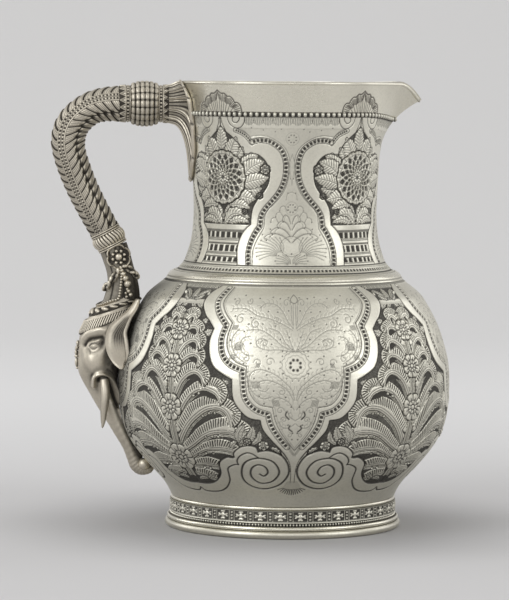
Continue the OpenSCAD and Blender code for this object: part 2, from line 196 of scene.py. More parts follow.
def on_handle(obj, node):
    """Places a piece of the handle."""
    return place(obj, WARM, "handle_silver", node)


def grid_faces(rows, columns, closed, first=0):
    """Quads of a grid of points stored row after row. closed joins the last column to the first."""
    index = first + np.arange(rows * columns).reshape(rows, columns)
    right = np.roll(index, -1, 1) if closed else index[:, 1:]
    left = index if closed else index[:, :-1]
    return np.stack([left[:-1], right[:-1], right[1:], left[1:]], -1).reshape(-1, 4)


def fan(ring, centre):
    """Triangles from a ring of indices to one point."""
    ring = np.asarray(ring)
    return np.stack([ring, np.roll(ring, -1), np.full(len(ring), centre)], -1)


def torus_faces(rows, columns):
    """Quads of a grid that closes on itself both ways."""
    index = np.arange(rows * columns).reshape(rows, columns)
    close = np.stack([index[-1], np.roll(index[-1], -1), np.roll(index[0], -1), index[0]], -1)
    return np.concatenate([grid_faces(rows, columns, True), close])


def cap_faces(rows, sides):
    """Fans that close both ends of a tube, to two points stored after its rings."""
    first = fan(np.arange(sides)[::-1], rows * sides)
    last = fan(np.arange(sides) + (rows - 1) * sides, rows * sides + 1)
    return np.vstack([first, last])


def normals(points, closed):
    """Unit normals of a grid of points (rows, columns, 3). closed wraps round the columns."""
    if closed:
        padded = np.concatenate([points[:, -1:], points, points[:, :1]], 1)
        across = (padded[:, 2:] - padded[:, :-2]) / 2
    else:
        across = np.gradient(points, axis=1)
    up = np.gradient(points, axis=0)
    n = np.cross(across, up)
    return n / np.maximum(np.linalg.norm(n, axis=-1, keepdims=True), 1e-9)


def lathe(name, outline, count=240, patina_and_shade=None, sharp=32):
    """Closed ring or dish turned about Z from a closed outline of (radius, height), counter-clockwise."""
    outline = np.asarray(outline, float)
    a = circle(count)
    points = np.stack([outline[:, :1] * np.cos(a), outline[:, :1] * np.sin(a),
                       outline[:, 1:] + 0 * a], -1)
    n = len(outline)
    shade = np.zeros(n) if patina_and_shade is None else np.asarray(patina_and_shade, float)
    return make_mesh(name, points.reshape(-1, 3), [torus_faces(n, count)], np.repeat(shade, count), sharp)


def bead_shape(rings=6, sides=10):
    """Unit sphere for beads: its points, quads and triangles."""
    lat = np.linspace(-math.pi / 2, math.pi / 2, rings + 1)[1:-1]
    lon = circle(sides)
    body = np.stack([np.cos(lat)[:, None] * np.cos(lon), np.cos(lat)[:, None] * np.sin(lon),
                     np.sin(lat)[:, None] + 0 * lon], -1).reshape(-1, 3)
    points = np.vstack([body, [(0, 0, -1)], [(0, 0, 1)]])
    return points, grid_faces(rings - 1, sides, True), cap_faces(rings - 1, sides)


def beads(name, centres, frames, sizes, shape, extra=None, painted_glint=0.15):
    """Many beads in one piece. frames holds three axes for each bead, sizes its three half sizes.
    A bead is painted bright on top, along its third axis, as a highlight, and dark toward its foot,
    as painted shade with some patina; the last argument paints every bead lighter or darker.
    extra adds other points, faces and patina to the piece."""
    sphere, quads, tris = shape
    centres = np.asarray(centres, float)
    scaled = sphere[None] * np.asarray(sizes, float).reshape(-1, 1, 3)
    points = centres[:, None] + np.einsum("nij,nik->njk", np.asarray(frames, float),
                                          scaled.transpose(0, 2, 1)).transpose(0, 2, 1)
    shift = (np.arange(len(centres)) * len(sphere))[:, None, None]
    # Painted highlight on top of each bead and painted shade toward its foot.
    shade = np.tile(0.55 - 0.75 * sphere[:, 2] - painted_glint, len(centres))
    verts = points.reshape(-1, 3)
    faces = [(quads[None] + shift).reshape(-1, 4), (tris[None] + shift).reshape(-1, 3)]
    if extra is not None:
        more, more_faces, more_shade = extra
        faces += [f + len(verts) for f in more_faces]
        verts = np.vstack([verts, more])
        shade = np.concatenate([shade, more_shade])
    return make_mesh(name, verts, faces, shade, sharp=None)


# ---------------------------------------------------------------- chased ornament on the vessel
HALF_BAY = 45   # degrees from the middle of a smooth bay to the middle of a leafy panel


class Relief:
    """Height in mm and patina, with some painted shade, over half a bay of the vessel, from the
    middle of a smooth bay (0 degrees) to the middle of a leafy panel (HALF_BAY degrees), drawn
    with strokes like a chaser's. Rows go up the wall at equal steps s along it, at the heights z;
    columns are the angles a; k is the millimetres in a degree at each row. Points are (degrees, height)."""

    def __init__(self, outline, low, high, columns, rows):
        fine = np.linspace(low, high, 1200)
        radius = np.interp(fine, outline[:, 1], outline[:, 0])
        arc = np.concatenate([[0], np.cumsum(np.hypot(np.diff(radius), np.diff(fine)))])
        self.s = np.linspace(0, arc[-1], rows + 1)
        self.z = np.interp(self.s, arc, fine)
        self.a = np.linspace(0, HALF_BAY, columns + 1)
        self.k = np.interp(self.z, fine, radius) * math.pi / 180
        self.height = np.zeros((rows + 1, columns + 1))
        self.dark = np.zeros((rows + 1, columns + 1))
        self.fine, self.arc = fine, arc

    def level(self, z):
        """Length up the wall at a height."""
        return np.interp(z, self.fine, self.arc)

    def scale(self, z):
        """Millimetres in a degree at a height."""
        return np.interp(z, self.z, self.k)

    def patch(self, a0, a1, z0, z1, reach):
        """Rows and columns within reach of a box in degrees and height."""
        s0, s1 = self.level(z0), self.level(z1)
        rows = slice(np.searchsorted(self.s, s0 - reach), np.searchsorted(self.s, s1 + reach))
        k = self.k[rows].min() if rows.stop > rows.start else 1.0
        cols = slice(np.searchsorted(self.a, a0 - reach / k), np.searchsorted(self.a, a1 + reach / k))
        return rows, cols

    def near(self, points, reach):
        """Distance from a line of points, length along it and side (1 left, -1 right)."""
        p = np.asarray(points, float)
        dist = np.full(self.height.shape, 99.0)
        along = np.zeros(self.height.shape)
        side = np.ones(self.height.shape)
        arc = self.level(p[:, 1])
        run = 0.0
        for i in range(len(p) - 1):
            lo, hi = np.minimum(p[i], p[i + 1]), np.maximum(p[i], p[i + 1])
            k_mid = self.scale((lo[1] + hi[1]) / 2)
            length = math.hypot((p[i + 1, 0] - p[i, 0]) * k_mid, arc[i + 1] - arc[i])
            rows, cols = self.patch(lo[0], hi[0], lo[1], hi[1], reach)
            if rows.stop > rows.start and cols.stop > cols.start and length > 1e-6:
                k = self.k[rows, None]
                x = (self.a[None, cols] - p[i, 0]) * k
                y = self.s[rows, None] - arc[i]
                dx = (p[i + 1, 0] - p[i, 0]) * k
                dy = arc[i + 1] - arc[i]
                t = np.clip((x * dx + y * dy) / (dx * dx + dy * dy), 0, 1)
                d = np.hypot(x - t * dx, y - t * dy)
                better = d < dist[rows, cols]
                dist[rows, cols] = np.where(better, d, dist[rows, cols])
                along[rows, cols] = np.where(better, run + t * length, along[rows, cols])
                turn = np.sign(dx * y - dy * x)
                side[rows, cols] = np.where(better, turn, side[rows, cols])
            run += length
        return dist, along, side, run

    def inside(self, polygon):
        """True inside a closed polygon of (degrees, height)."""
        p = np.asarray(polygon, float)
        y = self.level(p[:, 1])
        out = np.zeros(self.height.shape, bool)
        rows, cols = self.patch(p[:, 0].min(), p[:, 0].max(), p[:, 1].min(), p[:, 1].max(), 0.5)
        px = self.a[None, cols]
        py = self.s[rows, None]
        hit = np.zeros(np.broadcast(px, py).shape, bool)
        for i in range(len(p)):
            x0, x1, y0, y1 = p[i - 1, 0], p[i, 0], y[i - 1], y[i]
            if y0 == y1:
                continue
            crosses = (y0 > py) != (y1 > py)
            hit ^= crosses & (px < (x1 - x0) * (py - y0) / (y1 - y0) + x0)
        out[rows, cols] = hit
        return out

    def cut(self, points, width, depth, dark=0.9):
        """Groove with soft edges along a line."""
        dist = self.near(points, width)[0]
        self.sink(fade(dist, 0.3 * width / 2, width / 2 + 0.12), depth, dark)

    def stroke(self, points, width, depth, dark):
        """Groove along a smooth curve."""
        self.cut(smooth(points), width, depth, dark)

    def sink(self, share, depth, dark):
        """Lowers and darkens the surface by a share from 0 to 1."""
        self.height = self.height - depth * share
        self.dark = np.maximum(self.dark, dark * share)

    def fill(self, mask, height, dark):
        """Sets height and patina where the mask holds."""
        self.height = np.where(mask, height, self.height)
        self.dark = np.where(mask, dark, self.dark)

    def sunk_ground(self, held, depth):
        """Dark, slightly grainy ground where held."""
        grain = 0.05 * rng.standard_normal(held.shape)
        self.fill(held, grain - depth, grain + 0.9)

    def stamp(self, rows, cols, held, height, dark, halo=None, low=-0.5, rim=0.96):
        """Sets a patch of the relief where held, and a low dark rim round it where halo."""
        h, d = self.height[rows, cols], self.dark[rows, cols]
        self.height[rows, cols] = np.where(held, height, np.where(halo, low, h))
        self.dark[rows, cols] = np.where(held, dark, np.where(halo, rim, d))

    def hole_band(self, points, width, pitch, hole, depth=0.32, dark=0.96, edge=0.5):
        """Bright band between two fine lines, pierced by a row of small dark squares."""
        dist, along, _, total = self.near(points, width + 1)
        count = max(1, round(total / pitch))
        phase = np.abs((along * count / total) % 1 - 0.5) * total / count
        rail = fade(np.abs(dist - width / 2), 0.10, 0.36) * edge
        pit = fade(phase, hole * 0.36, hole * 0.56) * fade(dist, hole * 0.42, hole * 0.62)
        inside = dist < width / 2
        self.dark = np.where(inside, np.minimum(self.dark, 0.2), self.dark)
        self.height = self.height - 0.15 * rail - depth * pit
        self.dark = np.maximum(self.dark * (1 - pit), np.maximum(rail, dark * pit))

    def frond(self, outer, inner, comb=1.5, reach=4.6, crown=0.42):
        """Fern frond between two curves: outer runs from stem to tip and is cut like a comb,
        inner runs back from the tip to the stem and carries fine lines on both its sides."""
        held = self.inside(np.vstack([outer, inner]))
        out, along, _, total = self.near(outer, 9)
        back = self.near(inner, 9)[0]
        count = max(6, round(total / comb))
        size = out + back
        share = out / np.maximum(size, 0.3)
        reach = np.minimum(reach, 0.62 * size)
        height = crown * np.sqrt(np.clip(1 - (1.9 * share - 0.85) ** 2, 0, 1)) - 0.10
        cuts = 0.5 + 0.5 * np.cos(2 * math.pi * (along + 0.35 * out) * count / total)
        zone = step(out, 0.25, 0.5) * fade(out, reach - 0.5, reach + 0.2)
        tooth = zone * step(cuts, 0.38, 0.66)
        height = height - 0.42 * tooth
        shade = 0.03 + 0.95 * tooth
        for gap in (0.8, 1.9):
            mark = fade(np.abs(back - gap), 0.10, 0.32) * (out > reach)
            height = height - 0.16 * mark
            shade = np.maximum(shade, 0.8 * mark)
        # Fine raised lines in the sunk ground, along the frond's inner edge
        beside = (~held) & (self.dark > 0.7) & (out > 1.0)
        for gap, wide in ((0.75, 0.22), (1.45, 0.18)):
            ridge = fade(np.abs(back - gap), wide * 0.6, wide * 1.4) * beside
            self.height = self.height + 0.42 * ridge
            self.dark = self.dark - 0.72 * ridge
        self.fill(held, height, shade)
        self.fill((~held) & (out < 0.5), -0.52, 0.97)

    def leaf(self, spine, width, height=0.3, ribs=1.1, dark=0.15, serrate=0.25):
        """Leaf along a spine from root to tip, with a midrib, slanted ribs and a toothed edge."""
        dist, along, _, total = self.near(smooth(spine), width / 2 + 1)
        t = along / total
        swell = np.clip(np.sin(math.pi * np.clip(t * 0.92 + 0.06, 0, 1)), 0, 1) ** 0.7
        half = width / 2 * swell * (1 - serrate * (0.5 + 0.5 * np.cos(2 * math.pi * along / (ribs * 1.6))))
        body = dist < half
        d = dist / np.maximum(half, 0.2)
        rib = 0.5 + 0.5 * np.cos(2 * math.pi * (along - 0.6 * dist) / ribs)
        mid = fade(dist, 0.05, 0.3)
        cut = np.maximum(0.85 * step(rib, 0.55, 0.95) * step(dist, 0.25, 0.6), mid)
        self.fill(body, height * np.sqrt(np.clip(1 - d * d, 0, 1)) - 0.2 * cut - 0.1, dark + 0.75 * cut)
        gap = (~body) & (dist < half + 0.4)
        self.dark = np.where(gap, np.maximum(self.dark, 0.9), self.dark)

    def polar(self, centre, reach):
        """Local distance in mm and angle in degrees round a centre, and the rows and columns held."""
        rows, cols = self.patch(centre[0], centre[0], centre[1], centre[1], reach)
        x = (self.a[None, cols] - centre[0]) * self.k[rows, None]
        y = self.s[rows, None] - self.level(centre[1])
        return np.hypot(x, y), np.degrees(np.arctan2(y + 0 * x, x + 0 * y)), rows, cols

    def flower(self, centre, size, petals=8, turn=22.5):
        """Daisy-like flower: rounded petals, a sunk ring and a domed centre with a dark eye."""
        r, angle, rows, cols = self.polar(centre, size / 2 + 0.8)
        if not r.size:
            return
        wave = np.abs(((angle - turn) * petals / 360) % 1 - 0.5) * 2
        edge = size / 2 * (0.78 + 0.22 * np.sqrt(np.clip(1 - (1 - wave) ** 2, 0, 1)))
        q = r / edge
        from_seam = wave * r * math.pi / petals
        from_vein = (1 - wave) * r * math.pi / petals
        petal = 0.5 * np.sqrt(np.clip(1 - (2 * q - 1.45) ** 2 * 1.5, 0, 1)) * (0.5 + 0.5 * wave)
        seam = fade(from_seam, 0.05 + 0.2 * q, 0.25 + 0.3 * q) * step(q, 0.55, 0.65)
        vein = fade(from_vein, 0.10, 0.38) * step(q, 0.52, 0.6) * fade(q, 0.70, 0.80)
        ring = fade(np.abs(q - 0.53), 0.03, 0.08)
        small = fade(from_vein, 0.1, 0.4) * step(q, 0.26, 0.32) * fade(q, 0.46, 0.54)
        eye = fade(np.abs(q - 0.22), 0.03, 0.08)
        bud = 0.5 * np.sqrt(np.clip(1 - (q / 0.26) ** 2, 0, 1))
        inner = 0.34 + 0.12 * (1 - wave)
        height = np.where(q < 0.24, bud, np.where(q < 0.53, inner, petal))
        height = height - 0.35 * seam - 0.12 * vein - 0.26 * ring - 0.35 * small - 0.2 * eye
        shade = np.clip(0.08 + 0.75 * seam + 0.9 * vein + 0.6 * ring + 0.92 * small + 0.85 * eye, 0, 0.97)
        self.stamp(rows, cols, r < edge, height, shade, r < edge + 0.6)

    def punch(self, centre, size, depth, dark):
        """Small round dent."""
        r, _, rows, cols = self.polar(centre, size + 0.5)
        g = fade(r, size * 0.25, size * 0.6)
        self.height[rows, cols] -= depth * g
        self.dark[rows, cols] = np.maximum(self.dark[rows, cols], dark * g)

    def pearl(self, centre, size, height=0.35):
        """Small raised bead with a dark ring round it."""
        r, _, rows, cols = self.polar(centre, size)
        q = r / (size / 2)
        dome = np.sqrt(np.clip(1 - q * q, 0, 1))
        ground = self.height[rows, cols]
        self.stamp(rows, cols, q < 1, ground + height * dome, 0.55 - 0.5 * dome, r < size / 2 + 0.35,
                   ground, 0.9)


# ---------------------------------------------------------------- the body's ornament
def panel_points(points):
    """Points given as degrees from the middle of a leafy panel, as degrees in the half bay."""
    return smooth([(HALF_BAY - x, z) for x, z in points], 8)


# Fern fronds of the body, from the lowest: the comb edge from stem to tip, then the inner edge back
FRONDS = [
    ([(4, 34.6), (8.6, 34.7), (12.2, 33.6), (13.8, 32.2)], [(11.4, 29.4), (8.7, 30.3), (4, 31.8)]),
    ([(4, 38.6), (9.6, 40.6), (13, 41), (17, 39.7)], [(14.8, 35.8), (9.5, 36.3), (4, 36)]),
    ([(4, 42), (10.1, 47.5), (13.6, 49.7), (16.9, 50.6), (20.5, 49.6), (23.5, 46.5)],
     [(22.1, 42.6), (19, 44.4), (13, 44.6), (9.5, 43), (4, 39)]),
    ([(3, 47), (6.7, 51.8), (9.6, 55.7), (13.2, 59.3), (16.5, 61.1), (20.1, 61.8), (24, 60.2),
      (26.2, 57.3), (27, 54), (26.6, 50.6), (25.4, 47.4)],
     [(23.8, 46.6), (23.2, 49.8), (21.4, 52.4), (18.5, 53.4), (14.3, 52.6), (10.9, 50.2), (7, 46.2),
      (3, 43)]),
    ([(1.5, 56), (5.1, 63.4), (7.6, 67.5), (10.7, 70.3), (13.9, 71.8), (17, 71.8), (20.6, 70.4),
      (23.2, 67.7), (24.4, 64), (23.9, 60), (22.2, 57)],
     [(20.6, 56.4), (20, 61), (19, 63.6), (17.6, 64.8), (16, 65), (13.3, 64), (10.3, 61), (7.4, 57),
      (5, 52.5), (2.4, 47)]),
    ([(1.5, 64), (4.2, 70.2), (6.6, 74.2), (9.2, 77.2), (12, 79.4), (15.4, 80.6), (18.3, 79.8),
      (20.3, 77.3), (21.1, 73.8), (20.4, 70), (18.9, 67.4)],
     [(18.2, 68.8), (16.9, 71.8), (15.2, 73.2), (12.8, 74), (10, 72.6), (7.7, 69.8), (5.5, 65.5), (2, 57)]),
    ([(1.5, 78), (3.4, 82.6), (5.6, 85.7), (8.3, 87.3), (11.4, 87.4), (13.9, 85.8), (15.5, 82.5),
      (15.4, 79), (14, 76.2)],
     [(12.9, 75.9), (12.3, 79), (11.1, 81), (9.4, 81.6), (7.3, 80.4), (5.1, 77.5), (3.5, 73.6), (2, 69)]),
    ([(1.5, 87), (3.6, 91.6), (6, 94.3), (8.5, 95.6), (11, 95), (12.8, 92.3), (13.1, 89), (12, 86.2),
      (10.6, 84.8)],
     [(10.1, 86.4), (10.2, 88.4), (9.4, 89.6), (8, 89.9), (6, 88.7), (4, 86), (2, 81)]),
    ([(1.5, 98), (3.6, 100.8), (6.4, 102), (9.3, 102.2), (11.6, 100.4), (12.6, 97.6), (12, 95), (10.3, 93)],
     [(9, 93), (8.7, 95.6), (7.6, 96.6), (6, 96.2), (3.8, 93.8), (2, 89)]),
    ([(1.5, 104), (3.7, 106.8), (5.9, 107.6), (8.2, 107), (10.4, 105), (10.8, 102.8), (9.4, 101)],
     [(8, 100.8), (7.4, 102.4), (6.2, 103.2), (4.6, 102.6), (2.5, 100.6), (1.5, 98.5)]),
    ([(-0.5, 108.4), (0.3, 111.2), (2.7, 112.9), (5, 112.8), (6.9, 111.2), (7.1, 109), (6, 107.2)],
     [(5, 107.4), (4.4, 108.3), (3.4, 108.2), (1.8, 106)]),
]
FROND_WIDTH = {2: 1.10, 3: 1.14, 4: 1.10, 5: 1.05}


def body_relief():
    """Ornament of the body: leafy panel, plain border, smooth field and volutes."""
    f = Relief(BODY, FOOT_TOP, 124.0, 216, 432)
    border = joined([(1.0, 28.5), (1.0, 33), (1.3, 37.5), (2.4, 41.4), (4.7, 45.8), (7.4, 49.8),
                     (10.7, 55.6), (11.7, 60.5)],
                    [(11.7, 60.5), (15.6, 61.5), (18.8, 65.6), (21, 71), (21.5, 79.8)],
                    [(21.5, 79.8), (24.6, 82), (28.3, 85.5), (30.4, 91), (31.2, 97.5), (30.4, 103.5)],
                    [(30.4, 103.5), (33, 107), (35.5, 109.8), (38, 115), (37.3, 120), (33, 124)])
    lobe = [(4.1, 42.6), (6.8, 44.6), (9.6, 45.5), (12.2, 44.9), (12.8, 44.6)]
    ribbon = joined(lobe,
                    [(12.8, 44.6), (13.5, 47), (16.3, 47.8), (19.5, 46.6), (21.9, 43.8), (22, 41.6)],
                    [(22, 41.6), (22.9, 41.2), (25, 41.3), (27.8, 39.3), (29, 37.2), (29.7, 32.9),
                     (32.3, 29.4), (36.2, 27), (41, 26.2), (45, 26.4)])
    # Sunk ground of the panel, between the plain border and the ribbon
    ground = np.vstack([border[24:], [(46, 124), (46, 26.4)], ribbon[::-1]])
    held = f.inside(ground)
    f.sunk_ground(held, 0.52)

    # Leaf tips that point into the border's cusps, and small leaves low in the panel
    for spine, width in [([(34, 100.5), (32, 101.6), (30.2, 102)], 4),
                         ([(37.5, 104.5), (35, 106.5), (34, 108.5)], 3.4),
                         ([(27, 76.5), (24.5, 77.8), (22.6, 78.4)], 4.4),
                         ([(25.5, 67.5), (23.6, 70), (23, 73.6)], 3.2),
                         ([(34.5, 88), (32.6, 90.5), (32.4, 93.5)], 2.6),
                         ([(38.4, 113), (39.4, 114.2), (41, 115)], 2.6),
                         ([(41.5, 112.6), (42.5, 114), (43.8, 115)], 2.4)]:
        f.leaf(spine, width)
    for number, (outer, inner) in enumerate(FRONDS):
        wide = FROND_WIDTH.get(number, 1.0)
        outer, inner = ([(x * wide, z) for x, z in line] for line in (outer, inner))
        f.frond(panel_points(outer), panel_points(inner))
        if number < 5:
            continue
        # Dark crescent under the curled tip
        arch = panel_points(inner)
        arch = arch[2:int(0.66 * len(arch))]
        drop = 2.7 * np.sin(np.linspace(0, math.pi, len(arch))) ** 0.6
        under = arch - np.stack([0 * drop, drop], -1)
        eye = f.inside(np.vstack([arch, under[::-1]]))
        f.fill(eye, -0.6, 0.97)
    # Berries in the dark openings between the fronds
    for x, z in [(9, 35.3), (11.5, 35.1), (12, 42.8), (15, 42.9), (9, 41.8), (16, 51.6), (13.5, 51.2),
                 (18.3, 51.6), (15.5, 63), (13, 61.6), (17.5, 63.2), (11.5, 72.4), (9.5, 71.2)]:
        f.pearl((HALF_BAY - x, z), 1.2, 0.4)

    # Ribbed stem with flowers up the panel's middle
    f.cut([(45, z) for z in np.linspace(26, 110, 60)], 3.6, 0.3, 0.95)
    from_middle = np.abs(f.a[None] - HALF_BAY) * f.k[:, None]
    for at in (0.0, 0.8, 1.6):
        rib = fade(np.abs(from_middle - at), 0.16, 0.34) * (f.z[:, None] < 110) * (f.z[:, None] > 30)
        f.height = f.height + 0.45 * rib
        f.dark = f.dark * (1 - 0.85 * rib)
    for z, size in [(102.3, 10.6), (85, 11.6), (65, 13.2), (40, 15.2)]:
        f.flower((45, z), size)

    # Bar and acanthus leaves under the shoulder
    upper = f.a[None] > np.interp(f.z[:, None], border[-9:, 1], border[-9:, 0])
    for z, thick, tone in [(116.1, 0.75, 0.12), (115.1, 0.4, 0.3)]:
        f.fill((np.abs(f.z[:, None] - z) < thick) & upper, -0.02, tone)
    f.leaf([(45, 117), (45, 119), (45, 121.6)], 3.4, ribs=0.8)
    f.leaf([(44.4, 117), (42, 117.6), (40, 119)], 3, ribs=0.8)
    f.leaf([(43.6, 117), (41.4, 119.6), (38.9, 120.8), (37.9, 119.6)], 2, ribs=0.8)
    f.pearl((38.4, 119.6), 1.7)

    # Spandrel beside the volutes
    for spine, width in [([(18.5, 49.5), (15.2, 52), (14.2, 57)], 4.6),
                         ([(19.5, 50), (19.2, 54), (17.2, 58)], 4.2),
                         ([(14.5, 48.8), (12.4, 51), (12, 55)], 3),
                         ([(20.5, 49.2), (21.6, 48.6), (22.6, 46.8)], 2.6),
                         ([(8, 46.8), (6.4, 46), (5.2, 44.4)], 1.8),
                         ([(33, 31.5), (34.6, 31), (36.4, 29.4)], 3),
                         ([(37, 29.5), (39.5, 29.6), (42, 28.6)], 2.6)]:
        f.leaf(spine, width, ribs=0.9)
    f.flower((10.8, 48), 4.8, petals=6)
    f.flower((16.4, 49.8), 3.2, petals=6)

    # Plain border: bright, with engraved edges, holding the smooth field
    band = f.inside(np.vstack([border, [(-1, 124), (-1, 28.5)]]))
    f.fill(band, 0.0, 0.04)
    dots = joined([(2.6, 47.4), (4.7, 50.8), (7.1, 55.6), (8.4, 59.6), (9, 63.5)],
                  [(9, 63.5), (13, 65.4), (16.0, 69.3), (17.2, 73.8), (17.8, 84.2)],
                  [(17.8, 84.2), (22.3, 86.8), (25.4, 91.4), (26.6, 98.4), (25.6, 105.4)],
                  [(25.6, 105.4), (29.9, 111.3), (31.6, 116.7), (29.6, 122.4)])
    inner = joined([(0, 45.6), (2.0, 49.2), (4.7, 54.6), (6.5, 60), (7.6, 66.9)],
                   [(7.6, 66.9), (12.0, 68.2), (14.9, 72.9), (15.9, 78.5), (16.5, 86.2)],
                   [(16.5, 86.2), (20.5, 88.5), (23.4, 93.1), (24.4, 99.4), (23.4, 106.6)],
                   [(23.4, 106.6), (27.4, 111.9), (29.0, 116.8), (27.2, 122.8)])
    field = f.inside(np.vstack([inner, [(-1, 122.8), (-1, 45.6)]]))
    f.fill(field, -0.2, 0.12)
    f.hole_band(dots, 2.7, 2.1, 1.6, 0.4, 0.97, 0.8)
    for i in range(9):
        f.cut([(0.35 + 0.26 * i, 42.9 + 0.5 * i), (0.05 + 0.22 * i, 43.9 + 0.55 * i)], 0.4, 0.12, 0.6)
    f.cut(inner, 0.5, 0.2, 0.8)
    f.cut(inner - [(0.75, 0.0)], 0.35, 0.08, 0.5)
    f.cut(border, 0.85, 0.3, 0.95)
    engraving(f)

    # Volutes on the lower body: a spiral cut in a plain ribbon
    plain = f.inside(np.vstack([[(-1, 15), (46, 15), (46, 26.4)], ribbon[::-1], border[:18][::-1],
                                [(-1, 28)]]))
    f.fill(plain, 0.0, 0.04)
    f.cut(ribbon, 1.1, 0.34, 0.95)
    volute = smooth([(6.8, 44.6), (4.1, 42.6), (1.9, 37.8), (1.9, 32.6), (5.3, 27.5), (11.6, 25.1),
                     (17.4, 26.2), (20.5, 29.6), (20.3, 34.6), (18, 39.2), (13.2, 41.4), (7.8, 39.8),
                     (5.4, 34.3), (8.1, 29.4), (13.3, 28.1), (16.7, 31.2), (16.3, 35.5), (13.6, 37.9),
                     (10.8, 36.9), (9.9, 34), (11.6, 32), (13.2, 33)], 8)
    f.cut(volute, 1.4, 0.45, 0.97)
    f.cut(joined([(13, 41.7), (15, 43.6), (17.2, 44), (19.9, 42.1), (21.2, 39.6), (21, 37.7)],
                 [(21, 37.7), (22.7, 37.6), (25.7, 35.6), (26.3, 32.1), (27, 28.8), (30.2, 24.8),
                  (35.1, 22.6), (42.5, 22.2), (45, 24)]), 1.1, 0.34, 0.95)
    # Skirt of short cuts at the foot of each bay
    for i in range(7):
        foot = (i * 1.02, 22.1 + 0.075 * i * i)
        f.cut([(i * 0.66, 24.9 + 0.02 * i * i), foot], 0.62, 0.28, 0.92)
        f.cut([((i + 0.5) * 0.3, 29.5), ((i + 0.5) * 0.66, 25.2)], 0.35, 0.08, 0.3)

    # Ladder border under the shoulder
    strip = f.z[:, None] > 121.6
    under = f.a[None] > np.interp(f.z[:, None], border[-7:, 1], border[-7:, 0]) + 0.3
    f.fill(strip & under, -0.2, 0.85)
    cell = np.abs((f.a[None] / 0.9) % 1 - 0.5)
    bars = strip & under & (cell > 0.22) & (f.z[:, None] > 122.0) & (f.z[:, None] < 123.3)
    f.fill(bars, 0.02, 0.15)
    f.fill((f.z[:, None] > 123.3) & (f.a[None] > 0), -0.1, 0.6)
    # Painted reflection of the dark floor: the lower body is painted darker toward the foot.
    f.dark = f.dark + 0.12 * fade(f.z[:, None], 24, 56)
    return f


FINE = 0.42          # mm, width of a fine engraved line
# Millimetres in a degree, about, where the engraving is drawn
FIELD_MM = 1.4       # on the body's smooth field
ROSETTE_MM = 1.44    # at the rosette in that field
NECK_MM = 0.83       # at the neck's rosettes
PLUME_MM = 0.66      # for the plumes low on the neck, which are drawn wider


def spiral(a, z, radius, start, sweep):
    """Spiral round (a, z) that shrinks to a quarter of its radius; angles in degrees."""
    t = np.linspace(0, 1, 14)
    turn = np.radians(start + sweep * t)
    r = radius * (1 - 0.75 * t)
    return np.stack([a + r * np.cos(turn) / FIELD_MM, z + r * np.sin(turn)], 1)


def leaflets(f, line, side, pitch=2.3, size=2.0):
    """Small curved strokes along one side of a line, like the lobes of a leaf."""
    scaled = smooth(line) * (FIELD_MM, 1)
    run = lengths(scaled)
    for at in np.arange(pitch, run[-1], pitch):
        here, ahead = (np.array([np.interp(d, run, scaled[:, i]) for i in (0, 1)]) for d in (at, at + 0.4))
        along = (ahead - here) / max(np.linalg.norm(ahead - here), 1e-6)
        out = side * np.array([-along[1], along[0]])
        lobe = [(0, 0), (0.65, 0.25), (0.9, 0.9)]
        path = [(here + size * (u * out + v * along)) / (FIELD_MM, 1) for u, v in lobe]
        f.cut(smooth(path, 4), 0.36, 0.07, 0.42)


